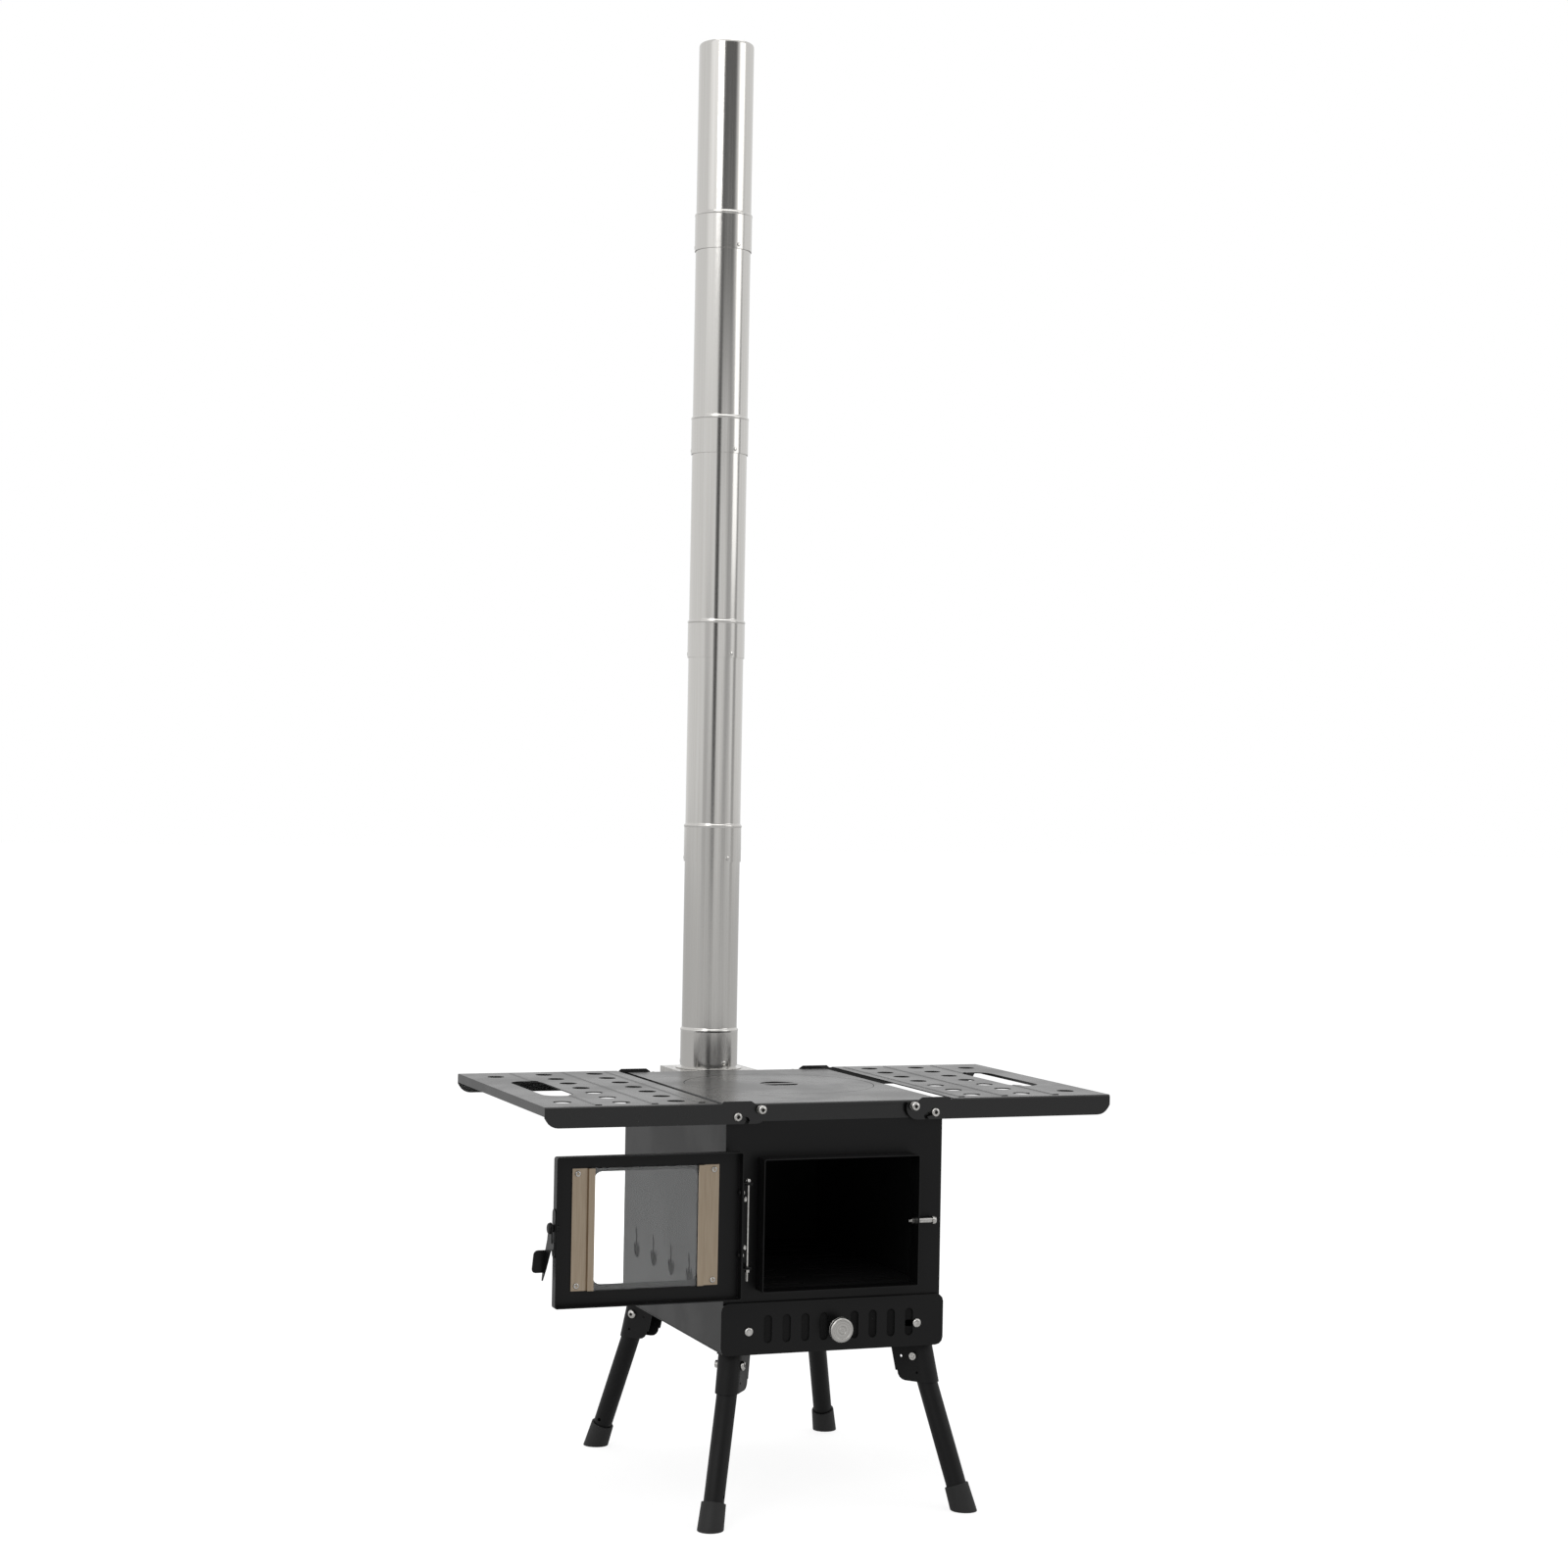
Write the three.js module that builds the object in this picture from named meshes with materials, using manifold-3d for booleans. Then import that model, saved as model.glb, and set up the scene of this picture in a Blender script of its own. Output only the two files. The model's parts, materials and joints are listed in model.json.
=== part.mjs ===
// Tent wood stove: a sheet steel firebox on four folding legs, with a glass door that lies
// open flat beside the firebox, two folding side shelves, a sliding air damper, a lift-off
// cooking lid and a stacked stainless chimney behind the firebox.
//
// Millimetres, +Z up. The origin is on the floor under the middle of the whole stove.
// Pieces are laid out from the middle of the firebox: X to the right, Y to the back.

import * as THREE from "three";
import { mergeVertices } from "three/addons/utils/BufferGeometryUtils.js";
import Module from "manifold-3d";

const wasm = await Module();
wasm.setup();

// ---------------------------------------------------------------- driving dimensions

const FIREBOX_CENTRE_Y = -36; // puts the origin under the middle of the whole stove
const GAP = 0.3; // clearance between pieces that touch
const SHEET = 1.5; // sheet thickness of the painted body

const BODY = { width: 300, depth: 420, bottom: 212, top: 531, topLip: 23, bend: 3 };
const LID = { x: 8, y: 20, radius: 129.5, seat: 119, thickness: 1.8, liftRadius: 26, bridge: 13 };
const COLLAR = { left: -106.5, right: 109.5, bottom: 292.5, top: 462.5, depth: 25 };
const LINER = { web: 141, bottom: 218, top: 519 };
const FLAME = { count: 5, pitch: 75, bottom: 279, height: 44, width: 30 };
const GRATE = { z: 284, thickness: 4, width: 277, depth: 400, slots: 7, ledge: 14 };

const AIR = { left: -154, right: 154, bottom: 211, top: 277.5, face: 4.5, screwX: 116.5, z: 241 };
const SLOT = { width: 11, height: 36, pitch: 25.6, perSide: 4, leftMost: -90.3, rightMost: 105.7, z: 243 };
const DAMPER = { travel: 12.8, left: -138, right: 126, bottom: 218, top: 270, thickness: 1.2 };
const KNOB = { x: 3, radius: 16, hub: 8.5, shaft: 4 };

const HINGE = {
  x: -128,
  y: -25, // from the front face
  bottom: 324.5,
  top: 434.6,
  bolt: 1.6,
  doorScrews: [342.8, 422],
  bodyScrews: [348, 409.5],
};
const DOOR = { near: 10, far: 255, bottom: 287, top: 474, depth: 14, face: -3.5 };
const WINDOW = { near: 67.5, far: 203.5, bottom: 314, top: 454, corner: 10 };
const GLASS = { overlap: 6, bottom: 306.5, top: 458.5, thickness: 4 };
const CLAMP = { foot: 22, lip: 6.5, thickness: 1.2, screwInset: 7, screwRise: 6.5 };
const SMALL_SCREW = { head: 3.6, dome: 2.2, shank: 1.5, length: 4.4, sides: 8 };
const CATCH = { y: -9.5, z: 375, shank: 3.5, head: 5.6, end: 133.2 }; // y from the front face
const LATCH = {
  y: 2.3,
  z: 386,
  plate: 1,
  spacer: 2.5,
  lever: 1.6,
  headRadius: 7.5,
  tab: 15.7,
  bendZ: 358, // below this height the lever leans outward
  lean: 0.1,
};

const SHELF = { inner: 163.5, outer: 392, top: 532.8, half: 216.5, flange: 26.5, endFlange: 12, corner: 18 };
const SHELF_PIVOT = { x: 137.2, z: 515 };
const SHELF_STOP = { x: 106.2, z: 524 };
const SHELF_HOLE = { radius: 11.7, count: 7, pitch: 59, rows: [207, 280] };
const HAND_SLOT = { x: 332.5, y: 4, width: 43, length: 188 };

const FLUE = { y: 288, width: 118, back: 333, bottom: 427, top: 527.5, wall: 1.2 };
const PIPE = {
  radius: 40,
  wall: 1,
  bell: 52.5,
  slip: 0.5,
  sections: 5,
  firstBell: 531.7,
  pitch: 295.5,
  insertion: 51.4,
  lastLength: 301.5,
};

const LEG = {
  pivotX: 131.8,
  pivotY: 190.8,
  pivotZ: 195,
  heading: THREE.MathUtils.degToRad(51.9), // outward direction of a leg, from the X axis
  splay: THREE.MathUtils.degToRad(19.5),
  radius: 13.2,
  bracket: 15.6,
  wall: 1.2,
  above: 7,
  cap: 34,
};

// ---------------------------------------------------------------- materials

const finish = (color, roughness, metalness) =>
  new THREE.MeshStandardMaterial({ color, roughness, metalness });

const paint = finish(0x1b1b1c, 0.55, 0.2);
const innerSteel = finish(0x222222, 0.75, 0.3);
const stainless = finish(0xc9c6c0, 0.22, 1.0);
const screwSteel = finish(0xc2c0bc, 0.3, 1.0);
const clampSteel = finish(0x9e8e78, 0.45, 0.8);
const rubber = finish(0x161616, 0.8, 0.0);
const clearGlass = new THREE.MeshStandardMaterial({
  color: 0xeef2f2,
  roughness: 0.05,
  metalness: 0,
  transparent: true,
  opacity: 0.2,
});

// ---------------------------------------------------------------- shape helpers

const { cos, sin, tan, PI, hypot, min, atan2 } = Math;

/** Outline from corners [x, y, radius]; a radius above zero rounds that corner. */
function outline(corners, steps = 3) {
  const points = [];
  corners.forEach(([x, y, radius = 0], i) => {
    const corner = new THREE.Vector2(x, y);
    if (radius === 0) {
      points.push(corner);
      return;
    }
    const [px, py] = corners[(i + corners.length - 1) % corners.length];
    const [nx, ny] = corners[(i + 1) % corners.length];
    const before = new THREE.Vector2(px, py).sub(corner).normalize();
    const after = new THREE.Vector2(nx, ny).sub(corner).normalize();
    const half = Math.acos(THREE.MathUtils.clamp(before.dot(after), -1, 1)) / 2;
    const centre = before.clone().add(after).normalize().multiplyScalar(radius / sin(half)).add(corner);
    const start = before.multiplyScalar(radius / tan(half)).add(corner).sub(centre);
    const end = after.multiplyScalar(radius / tan(half)).add(corner).sub(centre);
    const from = start.angle();
    let turn = end.angle() - from;
    if (turn > PI) turn -= 2 * PI;
    if (turn < -PI) turn += 2 * PI;
    for (let k = 0; k <= steps; k++) {
      const angle = from + (turn * k) / steps;
      points.push(new THREE.Vector2(centre.x + radius * cos(angle), centre.y + radius * sin(angle)));
    }
  });
  return points;
}

const rect = (x0, x1, y0, y1, radius = 0, steps = 3) =>
  outline([[x0, y0, radius], [x1, y0, radius], [x1, y1, radius], [x0, y1, radius]], steps);

const circle = (x, y, radius, sides = 12) =>
  Array.from({ length: sides }, (_, k) => {
    const angle = (2 * PI * (k + 0.5)) / sides;
    return new THREE.Vector2(x + radius * cos(angle), y + radius * sin(angle));
  });

/** Points on an arc about (x, y), from one angle to another, both in degrees. */
const arc = (x, y, radius, from, to, steps) =>
  Array.from({ length: steps + 1 }, (_, k) => {
    const angle = THREE.MathUtils.degToRad(from + ((to - from) * k) / steps);
    return [x + radius * cos(angle), y + radius * sin(angle)];
  });

const obround = (x, y, width, height, steps = 4) => {
  const radius = min(width, height) / 2 - 0.001;
  return rect(x - width / 2, x + width / 2, y - height / 2, y + height / 2, radius, steps);
};

/** Turns a closed geometry into a solid that can be joined and cut. */
function solid(geometry, matrix = null) {
  let g = geometry.clone();
  if (matrix) g.applyMatrix4(matrix);
  g.deleteAttribute("normal");
  g.deleteAttribute("uv");
  g = mergeVertices(g, 1e-4);
  const index = g.index.array;
  const triangles = [];
  for (let i = 0; i < index.length; i += 3) {
    const [a, b, c] = [index[i], index[i + 1], index[i + 2]];
    if (a !== b && b !== c && c !== a) triangles.push(a, b, c);
  }
  return new wasm.Manifold(
    new wasm.Mesh({
      numProp: 3,
      vertProperties: new Float32Array(g.attributes.position.array),
      triVerts: new Uint32Array(triangles),
    }),
  );
}

// Each basis carries an outline's x and y, and its thickness, onto the named plane.
const axes = (a, b, c) =>
  new THREE.Matrix4().makeBasis(new THREE.Vector3(...a), new THREE.Vector3(...b), new THREE.Vector3(...c));
const PLANE = {
  xy: axes([1, 0, 0], [0, 1, 0], [0, 0, 1]),
  xz: axes([1, 0, 0], [0, 0, 1], [0, -1, 0]),
  yz: axes([0, 1, 0], [0, 0, 1], [1, 0, 0]),
};

/** A flat sheet in a plane, with holes, between two positions along the third axis. */
function sheet(plane, points, low, high, holes = []) {
  const shape = new THREE.Shape(points);
  shape.holes = holes.map((hole) => new THREE.Path(hole));
  const geometry = new THREE.ExtrudeGeometry(shape, { depth: high - low, bevelEnabled: false });
  geometry.translate(0, 0, plane === "xz" ? -high : low);
  return solid(geometry, PLANE[plane]);
}

const block = (x0, x1, y0, y1, z0, z1) =>
  solid(
    new THREE.BoxGeometry(x1 - x0, y1 - y0, z1 - z0),
    new THREE.Matrix4().makeTranslation((x0 + x1) / 2, (y0 + y1) / 2, (z0 + z1) / 2),
  );

/** A turned piece; its profile of [radius, height] runs up +Z from the given place. */
function turned(profile, x = 0, y = 0, z = 0, sides = 12, direction = [0, 0, 1]) {
  const geometry = new THREE.LatheGeometry(profile.map(([r, h]) => new THREE.Vector2(r, h)), sides);
  const toward = new THREE.Vector3(...direction).normalize();
  const spin = new THREE.Quaternion().setFromUnitVectors(new THREE.Vector3(0, 1, 0), toward);
  geometry.applyQuaternion(spin);
  geometry.translate(x, y, z);
  return solid(geometry);
}

const pin = (radius, from, to, sides = 12) => {
  const length = hypot(to[0] - from[0], to[1] - from[1], to[2] - from[2]);
  const direction = [to[0] - from[0], to[1] - from[1], to[2] - from[2]];
  return turned([[0, 0], [radius, 0], [radius, length], [0, length]], ...from, sides, direction);
};

const join = (...solids) => solids.reduce((a, b) => a.add(b));
const cut = (from, ...tools) => tools.reduce((a, b) => a.subtract(b), from);

/** A domed screw: head above zero, shank below it, turned toward a direction. */
function screw(place, direction, { head, dome, shank, length, sides = 10 }) {
  const profile = [
    [0, -length],
    [shank, -length],
    [shank, 0],
    [head, 0],
    [head, dome * 0.45],
    [head * 0.72, dome * 0.86],
    [0, dome],
  ];
  return turned(profile, ...place, sides, direction);
}

// ---------------------------------------------------------------- scene helpers

const stove = new THREE.Group();
stove.position.y = FIREBOX_CENTRE_Y;

function add(name, body, material, parent = stove) {
  const { vertProperties, triVerts } = body.getMesh();
  const geometry = new THREE.BufferGeometry();
  geometry.setAttribute("position", new THREE.BufferAttribute(vertProperties, 3));
  geometry.setIndex(new THREE.BufferAttribute(triVerts, 1));
  geometry.computeVertexNormals();
  const mesh = new THREE.Mesh(geometry, material);
  mesh.name = name;
  parent.add(mesh);
  return mesh;
}

const FRONT = -BODY.depth / 2;
const BACK = BODY.depth / 2;
const SIDE = BODY.width / 2;
const SIDES = [["left", -1], ["right", 1]];
const ENDS = [["front", -1], ["rear", 1]];

// ---------------------------------------------------------------- firebox

/** Places of the screws that carry the shelves, as holes through the plate's two lips. */
function shelfScrewHoles(radius) {
  return SIDES.flatMap(([, s]) =>
    [SHELF_PIVOT, SHELF_STOP].map(({ x, z }) =>
      pin(radius, [s * x, FRONT - 5, z], [s * x, BACK + 5, z], 10),
    ),
  );
}

function cooktopPlate() {
  const { top, topLip, bend } = BODY;
  const inside = top - SHEET;
  const lip = top - topLip;
  const profile = outline([
    [FRONT, lip],
    [FRONT, top, bend],
    [BACK, top, bend],
    [BACK, lip],
    [BACK - SHEET, lip],
    [BACK - SHEET, inside, bend - SHEET],
    [FRONT + SHEET, inside, bend - SHEET],
    [FRONT + SHEET, lip],
  ]);
  const seatTop = top - LID.thickness - GAP;
  const ring = [
    [LID.seat, seatTop - 2],
    [LID.radius + 9, seatTop - 2],
    [LID.radius + 9, inside + 0.1],
    [LID.seat, inside + 0.1],
    [LID.seat, seatTop - 2],
  ];
  const recess = pin(LID.radius + 0.8, [LID.x, LID.y, seatTop], [LID.x, LID.y, top + 2], 56);
  return cut(
    join(sheet("yz", profile, -SIDE, SIDE), turned(ring, LID.x, LID.y, 0, 56)),
    recess,
    ...shelfScrewHoles(2.9),
  );
}

function cookLid() {
  const { x, y, radius, thickness, liftRadius, bridge } = LID;
  const half = (Math.asin(bridge / 2 / liftRadius) * 180) / PI;
  const crescent = (from, to) =>
    arc(x, y, liftRadius, from, to, 9).map(([px, py]) => new THREE.Vector2(px, py));
  const holes = [crescent(half, 180 - half), crescent(180 + half, 360 - half)];
  return sheet("xy", circle(x, y, radius, 56), BODY.top - thickness, BODY.top, holes);
}

function frontPanel() {
  const opening = rect(
    COLLAR.left + SHEET,
    COLLAR.right - SHEET,
    COLLAR.bottom + SHEET,
    COLLAR.top - SHEET,
    2,
  );
  const halfSlot = SLOT.width / 2;
  const airWindow = rect(SLOT.leftMost - halfSlot - 1, SLOT.rightMost + halfSlot + 1, 223, 263, 4);
  const hingeScrews = HINGE.bodyScrews.map((z) => circle(HINGE.x + 5, z, 2, 8));
  const panelScrews = [-1, 1].map((s) => circle(s * AIR.screwX, AIR.z, 2.9, 8));
  return sheet(
    "xz",
    rect(-SIDE, SIDE, BODY.bottom, BODY.top - BODY.topLip - GAP),
    FRONT,
    FRONT + SHEET,
    [opening, airWindow, ...hingeScrews, ...panelScrews],
  );
}

function doorCollar() {
  const { left, right, bottom, top, depth } = COLLAR;
  const rim = sheet(
    "xz",
    rect(left, right, bottom, top, 3),
    FRONT - depth,
    FRONT - GAP,
    [rect(left + SHEET, right - SHEET, bottom + SHEET, top - SHEET, 1.5)],
  );
  return cut(rim, pin(2.6, [right - 5, FRONT + CATCH.y, CATCH.z], [right + 5, FRONT + CATCH.y, CATCH.z], 8));
}

/** One licking flame with a curled tip, drawn about its own foot. */
function flame(y, z, mirror) {
  const { width: w, height: h } = FLAME;
  const points = [
    [0, 0, 4], [0.3, 0.1, 3], [0.46, 0.34, 3], [0.3, 0.56, 2], [0.22, 0.36, 0.8],
    [0.1, 0.6, 4], [0.2, 0.84, 3], [0.12, 1, 0], [-0.06, 0.76, 4], [-0.02, 0.52, 2],
    [-0.2, 0.36, 0.8], [-0.26, 0.56, 1], [-0.46, 0.3, 3], [-0.3, 0.09, 3],
  ];
  return outline(points.map(([px, pz, r]) => [y + mirror * px * w, z + pz * h, r]), 2);
}

function sidePanel(s) {
  const holes = Array.from({ length: FLAME.count }, (_, k) =>
    flame((k - (FLAME.count - 1) / 2) * FLAME.pitch, FLAME.bottom, -s),
  );
  const face = rect(
    FRONT + SHEET + GAP,
    BACK - SHEET - GAP,
    BODY.bottom + SHEET + GAP,
    BODY.top - SHEET - GAP,
    2,
    2,
  );
  const [low, high] = s < 0 ? [-SIDE, -SIDE + SHEET] : [SIDE - SHEET, SIDE];
  return sheet("yz", face, low, high, holes);
}

/** The firebox's inner wall: a channel stood off the side panel, with a ledge for the grate. */
function sideLiner(s) {
  const web = s * LINER.web;
  const flange = s * (SIDE - SHEET - GAP);
  const inside = web + s * 1.2;
  const profile = outline([
    [web, LINER.bottom],
    [flange, LINER.bottom],
    [flange, LINER.bottom + 1.2],
    [inside, LINER.bottom + 1.2],
    [inside, LINER.top - 1.2],
    [flange, LINER.top - 1.2],
    [flange, LINER.top],
    [web, LINER.top],
  ]);
  const ledgeTop = GRATE.z - GAP;
  const across = [web + s * 0.6, web - s * GRATE.ledge].sort((a, b) => a - b);
  const ledge = block(...across, 5 - GRATE.depth / 2, GRATE.depth / 2 - 5, ledgeTop - 2, ledgeTop);
  return join(sheet("xz", profile, FRONT + 4, BACK - 4), ledge);
}

function rearPanel() {
  const outlet = rect(-FLUE.width / 2 + 8, FLUE.width / 2 - 8, FLUE.bottom + 8, 503, 4);
  const face = rect(-SIDE, SIDE, BODY.bottom, BODY.top - BODY.topLip - GAP);
  return sheet("xz", face, BACK - SHEET, BACK, [outlet]);
}

const bottomPanel = () =>
  block(-SIDE, SIDE, FRONT + SHEET + GAP, BACK - SHEET - GAP, BODY.bottom, BODY.bottom + SHEET);

function fireGrate() {
  const { z, thickness, width, depth, slots } = GRATE;
  const pitch = depth / (slots + 1);
  const holes = Array.from({ length: slots }, (_, k) =>
    [-1, 1].map((s) => obround((s * width) / 4, (k + 1) * pitch - depth / 2, 104, 12, 2)),
  ).flat();
  return sheet("xy", rect(-width / 2, width / 2, -depth / 2, depth / 2, 6), z, z + thickness, holes);
}

/** The screw that a shelf turns on: a shoulder holds the ear off the firebox. */
function shelfPivot() {
  const inner = BODY.depth / 2 - 6;
  const shoulder = BODY.depth / 2 + GAP;
  const ear = SHELF.half - SHEET - GAP;
  const head = SHELF.half + GAP;
  return [
    [0, inner], [2.5, inner], [2.5, shoulder], [5, shoulder], [5, ear], [2.5, ear],
    [2.5, head], [5.8, head], [5.8, head + 1.6], [4.2, head + 3.2], [0, head + 3.8],
  ];
}

/** The pin that stops a shelf level: a washer outside the ear, and a head that stands proud. */
function shelfStop() {
  const inner = BODY.depth / 2 - 6;
  const shoulder = BODY.depth / 2 + GAP;
  const washer = SHELF.half + GAP;
  return [
    [0, inner], [2.5, inner], [2.5, shoulder], [3, shoulder], [3, washer], [5.4, washer],
    [5.4, washer + 1.6], [3, washer + 1.6], [3, washer + 6], [5.8, washer + 6],
    [5.8, washer + 7.8], [4.2, washer + 9.4], [0, washer + 10],
  ];
}

add("cooktop_plate", cooktopPlate(), paint);
add("cook_lid", cookLid(), paint);
add("front_panel", frontPanel(), paint);
add("door_collar", doorCollar(), paint);
add("rear_panel", rearPanel(), paint);
add("bottom_panel", bottomPanel(), paint);
for (const [name, s] of SIDES) {
  add(`side_panel_${name}`, sidePanel(s), paint);
  add(`side_liner_${name}`, sideLiner(s), innerSteel);
}
add("fire_grate", fireGrate(), innerSteel);
for (const [end, ey] of ENDS) {
  for (const [side, s] of SIDES) {
    const place = ({ x, z }) => [s * x, 0, z, 8, [0, ey, 0]];
    add(`shelf_pivot_${end}_${side}`, turned(shelfPivot(), ...place(SHELF_PIVOT)), screwSteel);
    add(`shelf_stop_${end}_${side}`, turned(shelfStop(), ...place(SHELF_STOP)), screwSteel);
  }
}

// ---------------------------------------------------------------- air inlet and damper

const AIR_FACE = FRONT - AIR.face;

function airSlots(shift) {
  const { width, height, pitch, perSide, leftMost, rightMost, z } = SLOT;
  return Array.from({ length: perSide }, (_, k) => [
    obround(leftMost + k * pitch + shift, z, width, height),
    obround(rightMost - k * pitch + shift, z, width, height),
  ]).flat();
}

function ashPanel() {
  const guide = obround(KNOB.x + DAMPER.travel / 2, AIR.z, DAMPER.travel + 2 * KNOB.shaft + 1, 9);
  const screws = [-1, 1].map((s) => circle(s * AIR.screwX, AIR.z, 2.9, 8));
  const face = rect(AIR.left, AIR.right, AIR.bottom, AIR.top, 10);
  return sheet("xz", face, AIR_FACE, AIR_FACE + 1.4, [...airSlots(0), guide, ...screws]);
}

/** The plate behind the air panel: its slots meet the panel's when it slides right. */
function damperPlate() {
  const { travel, left, right, bottom, top, thickness } = DAMPER;
  const guides = [-1, 1].map((s) =>
    obround(s * AIR.screwX - travel / 2, AIR.z, travel + 2 * 3.6 + 1, 8.4),
  );
  const back = AIR_FACE + 1.4 + 0.5;
  return sheet("xz", rect(left, right, bottom, top, 6), back, back + thickness, [
    ...airSlots(-travel),
    circle(KNOB.x, AIR.z, 2.4, 8),
    ...guides,
  ]);
}

/** Turned knob on a shaft that runs through the panel's guide slot into the damper. */
function damperKnob() {
  const shoulder = 1.4 + 0.5 - GAP; // the wide part of the shaft stops in front of the damper
  const profile = [
    [0, -4.6], [2, -4.6], [2, -shoulder], [KNOB.shaft, -shoulder], [KNOB.shaft, 6],
    [KNOB.hub, 6.4], [KNOB.hub, 14], [KNOB.radius - 2, 15.5], [KNOB.radius, 17.5], [KNOB.radius, 22],
    [KNOB.radius - 1.6, 24], [10.6, 24.4], [10, 23.6], [0, 23.8],
  ];
  return turned(profile, KNOB.x, AIR_FACE, AIR.z, 24, [0, -1, 0]);
}

/** A screw that holds the air panel off the front, with a shoulder that guides the damper. */
function ashPanelScrew(s) {
  const front = AIR.face - GAP;
  const behind = 1.4 + GAP;
  const profile = [
    [0, -12], [2.5, -12], [2.5, -front], [3.6, -front], [3.6, -behind], [2.5, -behind],
    [2.5, GAP], [6, GAP], [6, 1.9], [4.3, 3.6], [0, 4.2],
  ];
  return turned(profile, s * AIR.screwX, AIR_FACE, AIR.z, 12, [0, -1, 0]);
}

add("ash_panel", ashPanel(), paint);
add("damper_plate", damperPlate(), paint);
add("damper_knob", damperKnob(), stainless);
for (const [name, s] of SIDES) add(`ash_panel_screw_${name}`, ashPanelScrew(s), screwSteel);

// ---------------------------------------------------------------- side shelves

/** The ear that hangs a shelf on its pivot and hooks round its stop pin from below. */
function shelfEar(s, low, high) {
  const { x: px, z: pz } = SHELF_PIVOT;
  const { x: sx, z: sz } = SHELF_STOP;
  const reach = hypot(sx - px, sz - pz);
  const bearing = (atan2(sz - pz, sx - px) * 180) / PI;
  const top = SHELF.top + 2.2;
  const bottom = SHELF.top - SHELF.flange;
  const corners = [
    [168, bottom], [168, SHELF.top - 1], [160, SHELF.top - 1], [156, top, 1], [119, top, 1],
    [113.6, top - 3.6],
    ...arc(px, pz, reach - 3.4, bearing - 8, bearing, 2),
    ...arc(sx, sz, 3.5, bearing - 190, bearing - 350, 4),
    ...arc(px, pz, reach + 3.4, bearing, bearing - 6, 1),
    ...arc(112, 521.5, 15.6, 150, 270, 6),
  ];
  const ear = sheet("xz", outline(corners.map(([x, z, r]) => [s * x, z, r])), low, high);
  const hookOn = outline([
    [px, pz - 2.7], [126, pz - 5.4], [132, bottom - 6], [126.4, bottom - 6], [120.6, pz - 4.6, 1], [123, pz - 0.6, 1],
    [px, pz + 2.7],
  ].map(([x, z, r]) => [s * x, z, r]));
  return cut(ear, sheet("xz", hookOn, low - 1, high + 1), pin(2.9, [s * px, low - 1, pz], [s * px, high + 1, pz]));
}

function shelf(s) {
  const { inner, outer, half, flange, endFlange, corner } = SHELF;
  const top = SHELF.top;
  const bend = 3;
  const profile = outline([
    [-half, top - flange],
    [-half, top, bend],
    [half, top, bend],
    [half, top - flange],
    [half - SHEET, top - flange],
    [half - SHEET, top - SHEET, bend - SHEET],
    [-half + SHEET, top - SHEET, bend - SHEET],
    [-half + SHEET, top - flange],
  ]);
  const span = [s * inner, s * outer].sort((a, b) => a - b);
  const tray = sheet("yz", profile, ...span);
  const lipSpan = [s * (outer - SHEET), s * outer].sort((a, b) => a - b);
  const lip = block(...lipSpan, -half + 1, half - 1, top - endFlange, top - 1);
  const ears = [-half, half - SHEET].map((low) => shelfEar(s, low, low + SHEET));
  const ribs = [181, 243.5, 318].map((x) => {
    const rib = outline([[x - 6, top - 0.4], [x - 3.5, top + 0.9], [x + 3.5, top + 0.9], [x + 6, top - 0.4]]
      .map(([px, pz]) => [s * px, pz]));
    return sheet("xz", rib, -half + 14, half - 14);
  });
  const cornerCut = sheet(
    "xz",
    outline([
      [s * (outer + 1), top - flange - 1],
      [s * (outer + 1), top - endFlange],
      ...arc(outer - corner, top - flange + corner, corner, -30, -90, 4).map(([x, z]) => [s * x, z]),
      [s * (outer - corner), top - flange - 1],
    ]),
    -half - 2,
    half + 2,
  );
  const { radius, count, pitch, rows } = SHELF_HOLE;
  const holes = rows.flatMap((x) =>
    Array.from({ length: count }, (_, k) => (k - (count - 1) / 2) * pitch).map((y) =>
      circle(s * x, y, radius, 12),
    ),
  );
  holes.push(...[-161, 161].map((y) => circle(s * 353, y, radius, 12)));
  holes.push(obround(s * HAND_SLOT.x, HAND_SLOT.y, HAND_SLOT.width, HAND_SLOT.length));
  const punches = holes.map((hole) => sheet("xy", hole, top - SHEET - 2, top + 3));
  return cut(join(tray, lip, ...ears, ...ribs), cornerCut, ...punches);
}

for (const [name, s] of SIDES) add(`shelf_${name}`, shelf(s), paint);

// ---------------------------------------------------------------- door, drawn closed about its hinge

const door = new THREE.Group();
door.position.set(HINGE.x, FRONT + HINGE.y, 0);
door.rotation.z = PI; // it lies open flat, beside the firebox
stove.add(door);

const DOOR_BACK = DOOR.face + DOOR.depth;
const GLASS_FACE = DOOR.face + SHEET + GAP;

const clampScrewPlaces = () =>
  [WINDOW.near - CLAMP.foot - CLAMP.lip + CLAMP.screwInset, WINDOW.far + CLAMP.foot + CLAMP.lip - CLAMP.screwInset].flatMap(
    (x) => [GLASS.bottom + CLAMP.screwRise, GLASS.top - CLAMP.screwRise].map((z) => [x, z]),
  );

const doorLeafScrewPlaces = () => HINGE.doorScrews.map((z) => [3, z]);

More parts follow.
